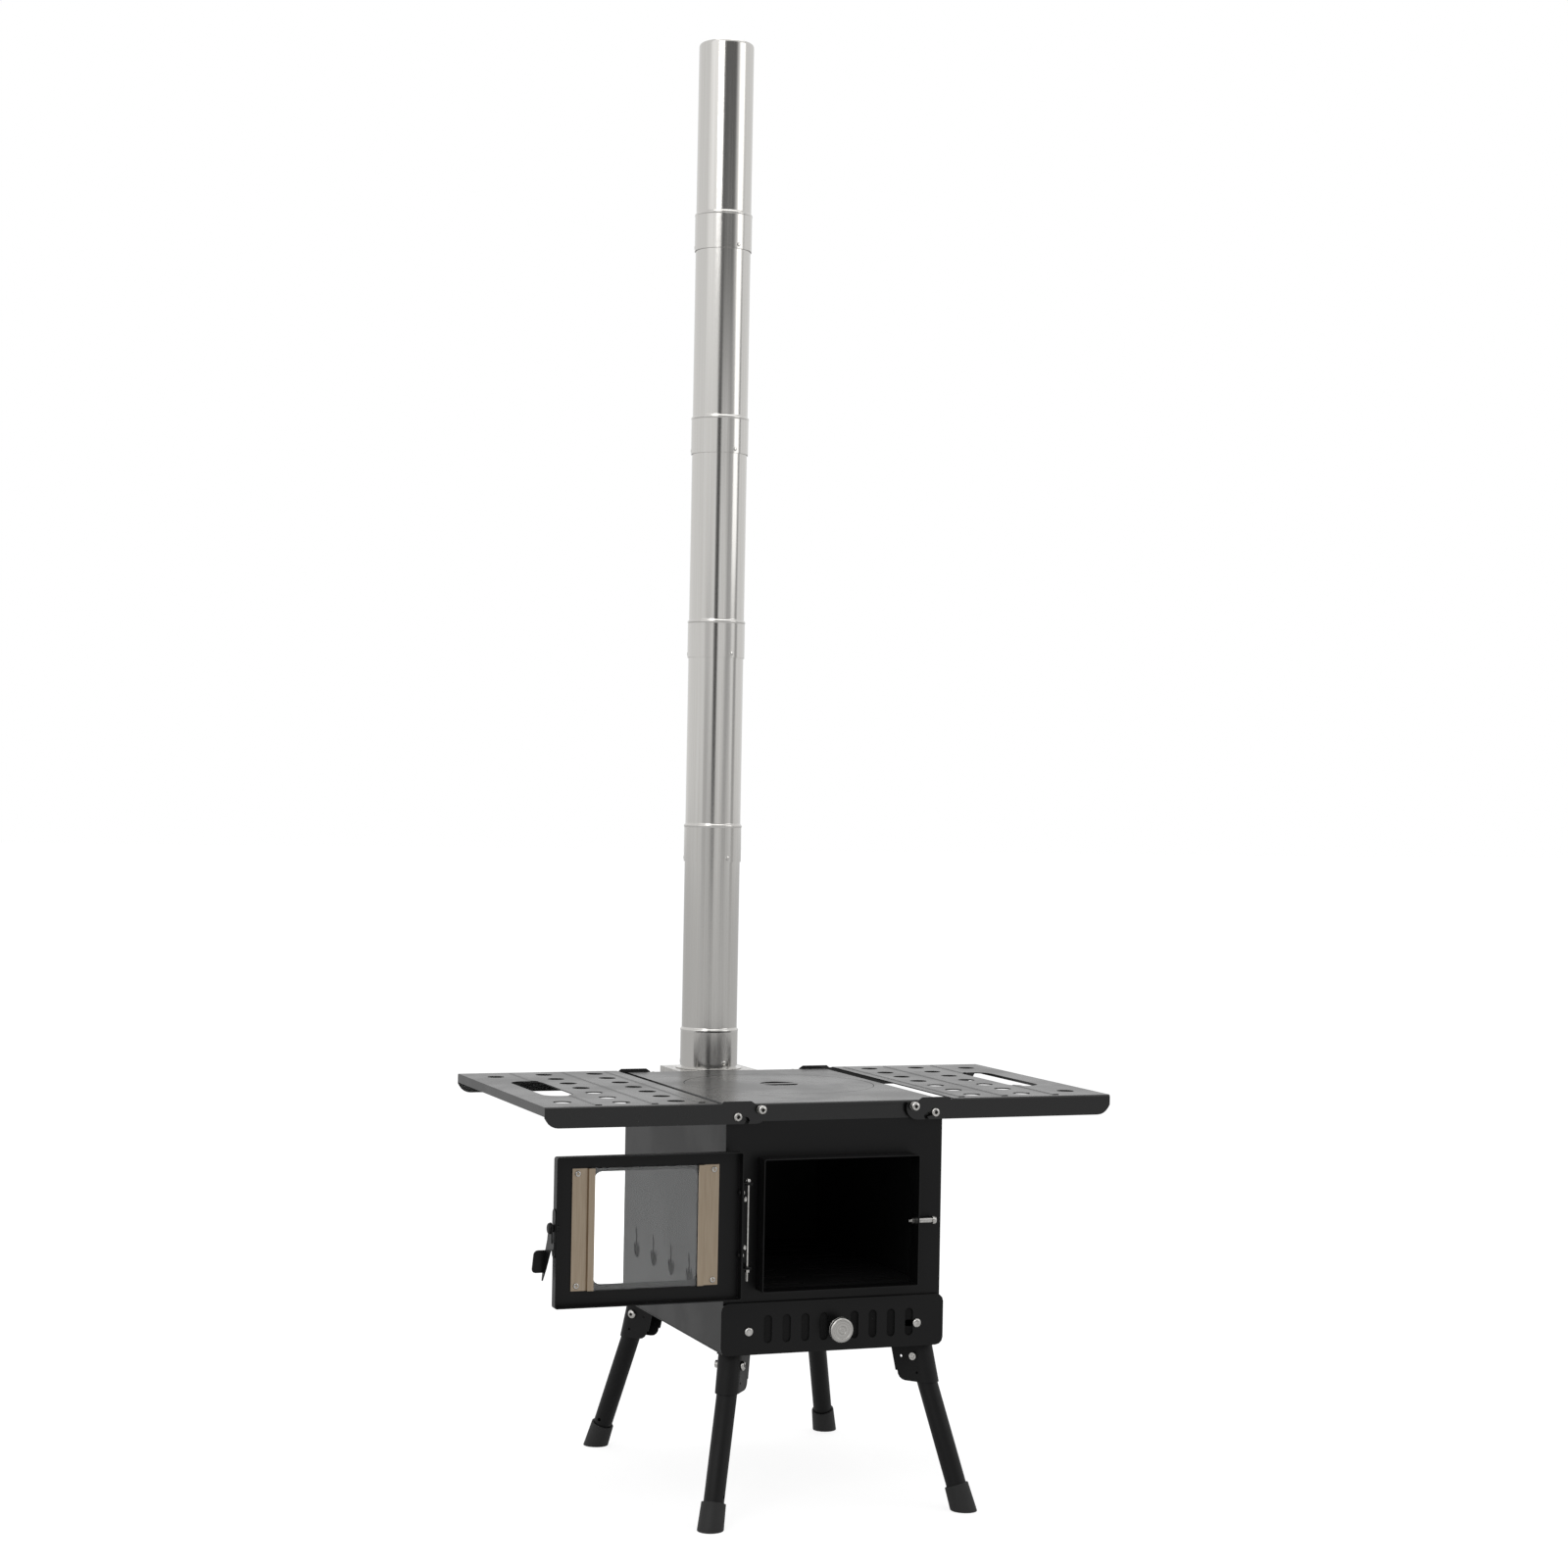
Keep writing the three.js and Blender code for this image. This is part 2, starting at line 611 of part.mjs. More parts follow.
function doorFrame() {
  const { near, far, bottom, top, face } = DOOR;
  const outer = rect(near, far, bottom, top, 3);
  const inner = rect(near + SHEET, far - SHEET, bottom + SHEET, top - SHEET, 1.5);
  const opening = rect(WINDOW.near, WINDOW.far, WINDOW.bottom, WINDOW.top, WINDOW.corner, 4);
  const screws = clampScrewPlaces().map(([x, z]) => circle(x, z, 1.9, 8));
  const front = sheet("xz", outer, face, face + SHEET, [opening, ...screws]);
  const walls = sheet("xz", outer, face, DOOR_BACK, [inner]);
  const drills = doorLeafScrewPlaces().map(([y, z]) => pin(1.9, [near - 3, y, z], [near + 5, y, z], 8));
  drills.push(pin(2.6, [far - 5, LATCH.y, LATCH.z], [far + 3, LATCH.y, LATCH.z], 8));
  return cut(join(front, walls), ...drills);
}

const doorGlass = () =>
  sheet(
    "xz",
    rect(WINDOW.near - GLASS.overlap, WINDOW.far + GLASS.overlap, GLASS.bottom, GLASS.top, 2, 2),
    GLASS_FACE,
    GLASS_FACE + GLASS.thickness,
  );

/** A strip with a step: its foot is screwed to the door, and its lip holds the glass. */
function glassClamp(side) {
  const { foot, lip, thickness } = CLAMP;
  const edge = side < 0 ? WINDOW.near : WINDOW.far; // the lip ends here
  const low = GLASS_FACE;
  const high = GLASS_FACE + GLASS.thickness + GAP;
  const step = lip + 1.6;
  const corners = [
    [0, high], [0, high + thickness], [step, high + thickness], [step + 1.2, low + thickness],
    [foot + lip, low + thickness], [foot + lip, low], [step - thickness + 0.8, low], [step - thickness, high],
  ];
  const strip = sheet("xy", outline(corners.map(([x, y]) => [edge + side * x, y])), GLASS.bottom, GLASS.top);
  const screws = clampScrewPlaces()
    .filter(([x]) => (side < 0 ? x < WINDOW.near : x > WINDOW.far))
    .map(([x, z]) => screw([x, low + thickness, z], [0, 1, 0], SMALL_SCREW));
  return join(strip, ...screws);
}

/** The door's hinge leaf: a strip on the door's side, a lug at each end, and its two screws. */
function doorHingeLeaf() {
  const outerFace = DOOR.near - GAP;
  const strip = block(outerFace - SHEET, outerFace, -8, 8, HINGE.bottom, HINGE.top);
  const lugs = [HINGE.bottom, HINGE.top - SHEET].map((z) => {
    const lug = outline([[outerFace - 1, -6], [outerFace - 1, 6], [-6, 6, 5], [-6, -6, 5]]);
    return sheet("xy", lug, z, z + SHEET);
  });
  const boltHole = pin(HINGE.bolt + 0.4, [0, 0, HINGE.bottom - 2], [0, 0, HINGE.top + 2], 10);
  const screws = doorLeafScrewPlaces().flatMap(([y, z]) => {
    const inside = DOOR.near + SHEET + GAP;
    const shank = inside - outerFace + 0.5;
    return [
      screw([inside, y, z], [1, 0, 0], { ...SMALL_SCREW, length: shank }),
      pin(2.8, [outerFace - SHEET - 2.2, y, z], [outerFace - 0.5, y, z], 6),
    ];
  });
  return join(cut(join(strip, ...lugs), boltHole), ...screws);
}

/** The latch: a plate on the door's free side, and a hooked lever on a pivot screw. */
const latchPlate = () => {
  const low = DOOR.far + GAP;
  const plate = sheet("yz", obround(3.5, 380, 13.6, 61, 4), low, low + LATCH.plate);
  return cut(plate, pin(2.6, [low - 2, LATCH.y, LATCH.z], [low + 4, LATCH.y, LATCH.z], 8));
};

const LEVER_LOW = DOOR.far + 2 * GAP + LATCH.plate + LATCH.spacer;

function latchLever() {
  const corners = [
    ...arc(0, 0, LATCH.headRadius, 150, -20, 6),
    [6.4, -8], [6.4, -17.2, 1], [13.7, -17.2], [14, -15.1], [17.6, -15.5, 1], [18.4, -19, 2], [16, -24.4, 2],
    [2, -27.5, 3], [-8.5, -51], [-19.6, -70, 1], [-20.2, -57], [-18.7, -29], [-11, -15, 3],
  ];
  const place = ([y, z, r]) => [LATCH.y + y, LATCH.z + z, r];
  const plate = sheet("yz", outline(corners.map(place), 2), LEVER_LOW, LEVER_LOW + LATCH.lever);
  const far = LEVER_LOW + LATCH.tab;
  const [foot, head] = [LATCH.z - 57.5, LATCH.z - 29.5];
  const fold = outline([[LEVER_LOW, foot], [far, foot, 5], [far, head, 5], [LEVER_LOW, head]]);
  const tab = sheet("xz", fold, LATCH.y - 20.2, LATCH.y - 18.6);
  const lever = cut(
    join(plate, tab),
    pin(2.8, [LEVER_LOW - 2, LATCH.y, LATCH.z], [LEVER_LOW + 4, LATCH.y, LATCH.z], 10),
  );
  const { bendZ, lean } = LATCH;
  const [upper, lower] = lever.splitByPlane([0, 0, 1], bendZ);
  return join(upper, lower.transform([1, 0, 0, 0, 0, 1, 0, 0, -lean, 0, 1, 0, lean * bendZ, 0, 0, 1]));
}

/** The lever's pivot: a low domed head outside, a spacer, and a nut inside the door's side wall. */
function latchPivot() {
  const seat = LEVER_LOW + LATCH.lever + GAP;
  const wall = DOOR.far - SHEET - GAP;
  const spacer = LEVER_LOW - GAP;
  const profile = [
    [0, wall - 4.2], [2.2, wall - 4.2], [2.2, wall - 3.2], [3.9, wall - 3.2], [3.9, wall],
    [2.2, wall], [2.2, spacer - LATCH.spacer + GAP], [4.8, spacer - LATCH.spacer + GAP], [4.8, spacer],
    [2.2, spacer], [2.2, seat], [6.9, seat], [6.9, seat + 1.2], [5.2, seat + 2.6], [0, seat + 3.2],
  ];
  return turned(profile, 0, LATCH.y, LATCH.z, 12, [1, 0, 0]);
}

add("door_frame", doorFrame(), paint, door);
add("door_glass", doorGlass(), clearGlass, door);
add("glass_clamp_hinge_side", glassClamp(-1), clampSteel, door);
add("glass_clamp_latch_side", glassClamp(1), clampSteel, door);
add("door_hinge_leaf", doorHingeLeaf(), paint, door);
add("latch_plate", latchPlate(), paint, door);
add("latch_lever", latchLever(), paint, door);
add("latch_pivot", latchPivot(), paint, door);

// ---------------------------------------------------------------- hinge and catch on the body

/** The body's leaf lies on the front panel, and its lugs stand inside the door's. */
function bodyHingeLeaf() {
  const low = HINGE.bottom + SHEET + GAP;
  const high = HINGE.top - SHEET - GAP;
  const back = FRONT - GAP;
  const web = block(HINGE.x - 7, HINGE.x + 12, back - SHEET, back, low, high);
  const axis = FRONT + HINGE.y;
  const lugs = [low, high - SHEET].map((z) => {
    const corners = [[HINGE.x - 6, back - 1], [HINGE.x - 6, axis - 6, 5], [HINGE.x + 6, axis - 6, 5], [HINGE.x + 6, back - 1]];
    return sheet("xy", outline(corners), z, z + SHEET);
  });
  const boltHole = pin(HINGE.bolt + 0.4, [HINGE.x, axis, low - 2], [HINGE.x, axis, high + 2], 10);
  const screws = HINGE.bodyScrews.map((z) =>
    screw([HINGE.x + 5, back - SHEET, z], [0, -1, 0], { ...SMALL_SCREW, length: 7 }),
  );
  return join(cut(join(web, ...lugs), boltHole), ...screws);
}

/** The long bolt that joins the leaves: head above them, nut and spare thread below. */
function hingeBolt() {
  const { bolt, top, bottom } = HINGE;
  const profile = [
    [0, 309], [bolt, 309], [bolt, bottom - 3.8], [3.4, bottom - 3.8], [3.4, bottom - GAP],
    [bolt, bottom - GAP], [bolt, top + GAP], [3.2, top + GAP], [3.2, top + 3], [2.4, top + 4], [0, top + 4.2],
  ];
  return turned(profile, HINGE.x, FRONT + HINGE.y, 0, 10);
}

/** The pin that the latch lever hooks, with its nut inside the collar. */
function catchPin() {
  const { y, z, shank, head, end } = CATCH;
  const wall = COLLAR.right + GAP;
  const inside = COLLAR.right - SHEET - GAP;
  const profile = [
    [0, inside - 7.5], [2.2, inside - 7.5], [2.2, inside - 4.2], [4.6, inside - 4.2], [4.6, inside],
    [2.2, inside], [2.2, wall], [shank, wall], [shank, end], [head, end], [head, end + 2.6],
    [head * 0.75, end + 5.4], [0, end + 6.6],
  ];
  return turned(profile, 0, FRONT + y, z, 14, [1, 0, 0]);
}

add("body_hinge_leaf", bodyHingeLeaf(), paint);
add("hinge_bolt", hingeBolt(), screwSteel);
add("catch_pin", catchPin(), screwSteel);

// ---------------------------------------------------------------- flue and chimney

/** The stainless box behind the firebox: open to the rear panel, with a hole on top. */
function flueBox() {
  const { y, width, back, bottom, top, wall } = FLUE;
  const front = BACK + GAP;
  const shell = block(-width / 2, width / 2, front, back, bottom, top);
  const hollow = block(-width / 2 + wall, width / 2 - wall, front - 1, back - wall, bottom + wall, top - wall);
  return cut(shell, hollow, pin(PIPE.radius - PIPE.wall, [0, y, top - 5], [0, y, top + 5], 36));
}

function flueSpigot() {
  const { radius, wall, firstBell, insertion } = PIPE;
  const base = FLUE.top + GAP;
  const top = firstBell + insertion;
  const profile = [
    [radius - wall, base], [radius + 8, base], [radius + 8, base + 1.2], [radius, base + 1.2],
    [radius, top], [radius - wall, top], [radius - wall, base],
  ];
  return turned(profile, 0, FLUE.y, 0, 36);
}

/** A chimney section: a wider bell with a bead slips over the plain end of the one below. */
function pipeSection(number) {
  const { radius: r, wall: w, bell, slip, firstBell, pitch, insertion, lastLength, sections } = PIPE;
  const last = number === sections;
  const length = last ? lastLength : pitch + insertion;
  const rim = last
    ? [[r - w, length - 2.4], [r - 2.6, length - 0.8], [r - 2, length], [r - 0.6, length - 1], [r, length - 3]]
    : [[r - w, length], [r, length]];
  const profile = [
    [r + slip, 0], [r + slip, bell - 1], [r - w, bell + 0.6], ...rim, [r, bell + 2],
    [r + slip + w + 0.4, bell + 0.8], [r + slip + w + 0.4, bell - 0.8], [r + slip + w, bell - 2], [r + slip + w, 0],
    [r + slip, 0],
  ];
  return turned(profile.reverse(), 0, FLUE.y, firstBell + (number - 1) * pitch, 36);
}

add("flue_box", flueBox(), stainless);
add("flue_spigot", flueSpigot(), stainless);
for (let k = 1; k <= PIPE.sections; k++) add(`pipe_section_${k}`, pipeSection(k), stainless);

// ---------------------------------------------------------------- folding legs

// Each leg is drawn about its own pivot, with x outward and y along the pivot screw.
const downTube = [sin(LEG.splay), 0, -cos(LEG.splay)];
const alongTube = (distance) => downTube.map((v) => v * distance);
const toFloor = LEG.pivotZ / cos(LEG.splay);
const upTube = downTube.map((v) => -v);

/** A channel folded round the tube, open to the inside, so that the tube folds under. */
function legBracket() {
  const outer = LEG.bracket;
  const inner = outer - SHEET;
  const reach = -36;
  const low = -33.5;
  const high = BODY.bottom - LEG.pivotZ - GAP;
  const lean = 0.234; // how far the channel's back leans outward for each unit down
  const channel = outline([
    [reach, -outer],
    ...arc(0, 0, outer, -90, 90, 8),
    [reach, outer],
    [reach, inner],
    ...arc(0, 0, inner, 90, -90, 8),
    [reach, -inner],
  ]);
  const geometry = new THREE.ExtrudeGeometry(new THREE.Shape(channel), {
    depth: high - low,
    bevelEnabled: false,
  });
  geometry.translate(4.1, 0, low);
  const shear = new THREE.Matrix4().set(1, 0, -lean, 0, 0, 1, 0, 0, 0, 0, 1, 0, 0, 0, 0, 1);
  const roof = block(reach + 2, 12, -inner - 0.5, inner + 0.5, high - SHEET, high);
  const heel = reach + 4.1 - lean * low;
  const corner = outline([
    [heel - 8, low - 1], [heel - 8, low + 12],
    ...arc(heel + 12, low + 12, 12, 180, 270, 4),
    [heel + 12, low - 1],
  ]);
  const detents = [[-19, -2], [5, -21.5]].map(([x, z]) => pin(1.8, [x, -outer - 2, z], [x, outer + 2, z], 8));
  return cut(
    join(solid(geometry, shear), roof),
    sheet("xz", corner, -outer - 2, outer + 2),
    pin(3.2, [0, -outer - 2, 0], [0, outer + 2, 0], 10),
    ...detents,
  );
}

function legTube() {
  const { radius, wall, above } = LEG;
  const top = alongTube(-above);
  const length = toFloor - 9 + above;
  const profile = [
    [radius - wall, 0], [radius, 0], [radius, length], [radius - wall, length], [radius - wall, 0],
  ];
  const button = alongTube(toFloor - LEG.cap - 8);
  return cut(
    turned(profile, ...top, 20, downTube),
    pin(3.4, [0, -20, 0], [0, 20, 0], 10),
    pin(2.6, button, [button[0], 20, button[2]], 8),
  );
}

/** A flared rubber foot on the tube's end, cut level with the floor. */
function footCap() {
  const start = alongTube(toFloor + 7);
  const bore = LEG.radius + 0.4;
  const rise = LEG.cap + 7;
  const profile = [
    [0, 0], [17.2, 0], [15.8, rise], [bore, rise], [bore, 16 - 0.6], [0, 16 - 0.6],
  ];
  const cap = turned(profile, ...start, 20, upTube);
  return cut(cap, block(-50, 150, -50, 50, -LEG.pivotZ - 40, -LEG.pivotZ));
}

/** The pivot: a domed screw on one side of the bracket and its nut on the other. */
function legPivot() {
  const side = LEG.bracket + GAP;
  const profile = [
    [0, -side - 5], [2.6, -side - 5], [2.6, -side - 4], [5, -side - 4], [5, -side], [2.6, -side],
    [2.6, side], [6.2, side], [6.2, side + 1.7], [4.6, side + 3.4], [0, side + 4],
  ];
  return turned(profile, 0, 0, 0, 10, [0, 1, 0]);
}

for (const [end, ey] of ENDS) {
  for (const [side, sx] of SIDES) {
    const leg = new THREE.Group();
    leg.position.set(sx * LEG.pivotX, ey * LEG.pivotY, LEG.pivotZ);
    leg.rotation.z = atan2(ey * sin(LEG.heading), sx * cos(LEG.heading));
    stove.add(leg);
    add(`leg_bracket_${end}_${side}`, legBracket(), paint, leg);
    add(`leg_tube_${end}_${side}`, legTube(), paint, leg);
    add(`foot_cap_${end}_${side}`, footCap(), rubber, leg);
    add(`leg_pivot_${end}_${side}`, legPivot(), screwSteel, leg);
  }
}

export default stove;
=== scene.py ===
"""Dressed tent wood stove.

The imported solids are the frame: metres, +Z up, the firebox door towards -Y. Each class below
takes one sub-assembly of the stove, makes its finer pieces in that frame and gives them their
finish. Sizes are in millimetres where a field says so, and turned into metres as meshes are made.
"""

from __future__ import annotations

import json
import logging
import math
from dataclasses import dataclass, field
from enum import Enum
from typing import Iterable, Sequence

import bmesh
import bpy
from mathutils import Matrix, Vector

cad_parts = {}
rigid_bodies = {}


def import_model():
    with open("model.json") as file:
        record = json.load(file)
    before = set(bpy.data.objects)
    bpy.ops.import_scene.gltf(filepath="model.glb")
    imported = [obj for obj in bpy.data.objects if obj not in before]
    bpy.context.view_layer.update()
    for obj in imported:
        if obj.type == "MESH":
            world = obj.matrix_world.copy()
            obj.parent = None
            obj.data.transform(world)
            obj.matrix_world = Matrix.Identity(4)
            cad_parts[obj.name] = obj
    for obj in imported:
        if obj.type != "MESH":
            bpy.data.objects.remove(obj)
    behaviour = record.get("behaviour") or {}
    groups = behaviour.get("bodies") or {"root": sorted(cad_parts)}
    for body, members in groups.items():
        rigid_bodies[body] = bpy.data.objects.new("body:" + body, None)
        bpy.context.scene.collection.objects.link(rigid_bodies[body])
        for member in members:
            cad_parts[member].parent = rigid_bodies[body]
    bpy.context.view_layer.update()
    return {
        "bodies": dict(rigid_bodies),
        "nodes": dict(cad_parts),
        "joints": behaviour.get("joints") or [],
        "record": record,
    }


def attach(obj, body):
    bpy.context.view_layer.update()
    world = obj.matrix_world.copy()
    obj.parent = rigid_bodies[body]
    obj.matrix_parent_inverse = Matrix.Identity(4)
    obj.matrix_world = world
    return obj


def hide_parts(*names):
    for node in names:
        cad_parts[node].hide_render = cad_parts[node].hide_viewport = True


log = logging.getLogger("stove")

MM = 0.001
FIREBOX_CENTRE_Y = -36.0  # mm, the middle of the firebox in the row frame
FRONT = FIREBOX_CENTRE_Y - 210.0  # mm, the front panel's face
CHIMNEY_Y = FIREBOX_CENTRE_Y + 288.0  # mm, the chimney's axis
PANEL_PROUD = 4.5  # mm, the air panel's face in front of the front panel's
FORWARD = Vector((0, -1, 0))
UPWARD = Vector((0, 0, 1))

Profile = Sequence[tuple[float, ...]]


def mm(x: float, y: float, z: float) -> Vector:
    """Turns a point in millimetres into metres."""
    return Vector((x, y, z)) * MM


class Side(Enum):
    """The two sides of the stove, with the sign of their X."""

    LEFT = -1
    RIGHT = 1

    @property
    def word(self) -> str:
        """The side's name as the solids spell it."""
        return self.name.lower()


class End(Enum):
    """The two ends of the stove, with the sign of their Y."""

    FRONT = -1
    REAR = 1

    @property
    def word(self) -> str:
        """The end's name as the solids spell it."""
        return self.name.lower()


# ------------------------------------------------------------------------------ node helpers


class Board:
    """Adds nodes to one node tree and joins their sockets.

    Args:
        tree: The shader or geometry node tree to work on.
    """

    def __init__(self, tree: bpy.types.NodeTree) -> None:
        self.tree = tree

    def add(self, kind: str, inputs: dict | None = None, **settings: object) -> bpy.types.Node:
        """Adds one node.

        Args:
            kind: The node's type name.
            inputs: Socket name or index to a value, or to the socket that feeds it.
            **settings: Properties of the node itself.

        Returns:
            The new node.
        """
        node = self.tree.nodes.new(kind)
        for key, value in settings.items():
            setattr(node, key, value)
        for key, value in (inputs or {}).items():
            self.feed(node.inputs[key], value)
        return node

    def feed(self, socket: bpy.types.NodeSocket, value: object) -> None:
        """Sets a socket to a value, or links another socket to it."""
        if isinstance(value, bpy.types.NodeSocket):
            self.tree.links.new(value, socket)
        else:
            socket.default_value = value

    def math(self, operation: str, first: object, second: object = 0.0) -> bpy.types.NodeSocket:
        """Adds a Math node and returns its result socket."""
        kind = "ShaderNodeMath"
        return self.add(kind, {0: first, 1: second}, operation=operation).outputs[0]

    def remap(
        self, value: object, low: float, high: float, to_low: float = 0.0, to_high: float = 1.0
    ) -> bpy.types.NodeSocket:
        """Maps a value's range onto another, clamped and eased, and returns the result socket."""
        numbers = {"Value": value, 1: low, 2: high, 3: to_low, 4: to_high}
        return self.add("ShaderNodeMapRange", numbers, interpolation_type="SMOOTHSTEP").outputs["Result"]

    def mix(self, factor: object, first: object, second: object) -> bpy.types.NodeSocket:
        """Mixes two numbers, and returns the result socket."""
        return self.add("ShaderNodeMix", {"Factor": factor, 2: first, 3: second}).outputs[0]

    def blend(self, factor: object, first: object, second: object) -> bpy.types.NodeSocket:
        """Mixes two colours, each three numbers or a socket, and returns the result socket."""
        ends = [end if isinstance(end, bpy.types.NodeSocket) else (*end, 1.0) for end in (first, second)]
        inputs = {"Factor": factor, 6: ends[0], 7: ends[1]}
        return self.add("ShaderNodeMix", inputs, data_type="RGBA").outputs[2]

    def noise(
        self, where: object, scale: object, detail: float, roughness: float = 0.5
    ) -> bpy.types.NodeSocket:
        """Adds a noise texture, and returns its result socket."""
        inputs = {"Vector": where, "Scale": scale, "Detail": detail, "Roughness": roughness}
        return self.add("ShaderNodeTexNoise", inputs).outputs["Fac"]

    def bump(self, height: object, strength: float, distance: float) -> bpy.types.NodeSocket:
        """Turns a height into a normal, and returns its socket."""
        inputs = {"Height": height, "Strength": strength, "Distance": distance}
        return self.add("ShaderNodeBump", inputs).outputs[0]

    def group(self, tree: bpy.types.NodeTree, **inputs: object) -> bpy.types.NodeOutputs:
        """Adds a shader group with its inputs, and returns its outputs."""
        return self.add("ShaderNodeGroup", inputs, node_tree=tree).outputs


def new_group(name: str, kind: str, inputs: dict[str, tuple[str, object]], outputs: dict[str, str]) -> Board:
    """Makes a node group with named inputs and outputs.

    Args:
        name: The group's name.
        kind: ShaderNodeTree or GeometryNodeTree.
        inputs: Input name to (socket type, default value or None).
        outputs: Output name to socket type.

    Returns:
        A board over the new tree.
    """
    tree = bpy.data.node_groups.new(name, kind)
    for label, (socket_type, default) in inputs.items():
        socket = tree.interface.new_socket(label, in_out="INPUT", socket_type=socket_type)
        if default is not None:
            socket.default_value = default
    for label, socket_type in outputs.items():
        tree.interface.new_socket(label, in_out="OUTPUT", socket_type=socket_type)
    return Board(tree)


# ------------------------------------------------------------------------------ shader groups


class SurfaceGroups:
    """The shader node groups that the finishes share, each built once."""

    FLOAT = "NodeSocketFloat"
    VECTOR = "NodeSocketVector"

    def __init__(self) -> None:
        self.grain = self._grain()
        self.rolled = self._rolled()
        self.scuffs = self._scuffs()
        self.dust = self._dust()

    def _grain(self) -> bpy.types.NodeTree:
        """Fine sprayed-coat grain: a small, even noise."""
        inputs = {
            "Vector": (self.VECTOR, None),
            "Scale": (self.FLOAT, 900.0),
            "Patch Scale": (self.FLOAT, 9.0),
        }
        outputs = {"Height": self.FLOAT, "Patches": self.FLOAT}
        board = new_group("Sprayed grain", "ShaderNodeTree", inputs, outputs)
        given = board.add("NodeGroupInput").outputs
        fine = board.noise(given["Vector"], given["Scale"], 2.0)
        broad = board.noise(given["Vector"], given["Patch Scale"], 4.0, 0.6)
        board.add("NodeGroupOutput", {"Height": fine, "Patches": board.remap(broad, 0.3, 0.7)})
        return board.tree

    def _rolled(self) -> bpy.types.NodeTree:
        """Marks of rolled tube: long streaks round an upright axis, and the seam at its back."""
        inputs = {
            "Vector": (self.VECTOR, None),
            "Across": (self.FLOAT, 9.0),
            "Along": (self.FLOAT, 0.7),
            "Seam": (self.FLOAT, 0.012),
        }
        outputs = {"Streaks": self.FLOAT, "Waves": self.FLOAT, "Seam Mask": self.FLOAT}
        board = new_group("Rolled tube", "ShaderNodeTree", inputs, outputs)
        given = board.add("NodeGroupInput").outputs
        axes = board.add("ShaderNodeSeparateXYZ", {0: given["Vector"]}).outputs
        angle = board.math("ARCTAN2", axes[0], board.math("MULTIPLY", axes[1], -1.0))
        round_tube = board.math("MULTIPLY", angle, given["Across"])
        up_tube = board.math("MULTIPLY", axes[2], given["Along"])
        place = board.add("ShaderNodeCombineXYZ", {0: round_tube, 1: up_tube}).outputs[0]
        streaks = board.noise(place, 2.6, 6.0, 0.7)
        waves = board.noise(place, 0.55, 2.0)
        back = board.math("ABSOLUTE", board.math("SUBTRACT", board.math("ABSOLUTE", angle), math.pi))
        seam = board.math("LESS_THAN", back, given["Seam"])
        board.add("NodeGroupOutput", {"Streaks": streaks, "Waves": waves, "Seam Mask": seam})
        return board.tree

    def _scuffs(self) -> bpy.types.NodeTree:
        """Small rubbed marks: stretched noise, cut off so that only its peaks show."""
        inputs = {"Vector": (self.VECTOR, None), "Scale": (self.FLOAT, 60.0), "Cover": (self.FLOAT, 0.2)}
        board = new_group("Rubbed marks", "ShaderNodeTree", inputs, {"Mask": self.FLOAT})
        given = board.add("NodeGroupInput").outputs
        slant = {"Vector": given["Vector"], "Rotation": (0.5, 0.3, 0.8), "Scale": (1, 5, 1)}
        turned = board.add("ShaderNodeMapping", slant).outputs[0]
        peaks = board.noise(turned, given["Scale"], 5.0)
        start = board.math("SUBTRACT", 0.86, board.math("MULTIPLY", given["Cover"], 0.4))
        rise = board.math("MULTIPLY", board.math("SUBTRACT", peaks, start), 9.0)
        mask = board.add("ShaderNodeClamp", {"Value": rise}).outputs[0]
        board.add("NodeGroupOutput", {"Mask": mask})
        return board.tree

    def _dust(self) -> bpy.types.NodeTree:
        """Pale dust that lies on faces that look up."""
        inputs = {"Vector": (self.VECTOR, None), "Scale": (self.FLOAT, 25.0)}
        board = new_group("Settled dust", "ShaderNodeTree", inputs, {"Mask": self.FLOAT})
        given = board.add("NodeGroupInput").outputs
        normal = board.add("ShaderNodeNewGeometry").outputs["Normal"]
        up = board.add("ShaderNodeSeparateXYZ", {0: normal}).outputs[2]
        cover = board.remap(board.noise(given["Vector"], given["Scale"], 6.0, 0.65), 0.4, 0.75)
        mask = board.math("MULTIPLY", board.remap(up, 0.5, 1.0), cover)
        board.add("NodeGroupOutput", {"Mask": mask})
        return board.tree


# ------------------------------------------------------------------------------ finishes


Colour = tuple[float, float, float]
# Painted shade: where this attribute is one, the bright steel turns dark to stand in for the shade inside a
# screw's socket.
RECESS = "recess"  # the point attribute that is one inside a screw's socket


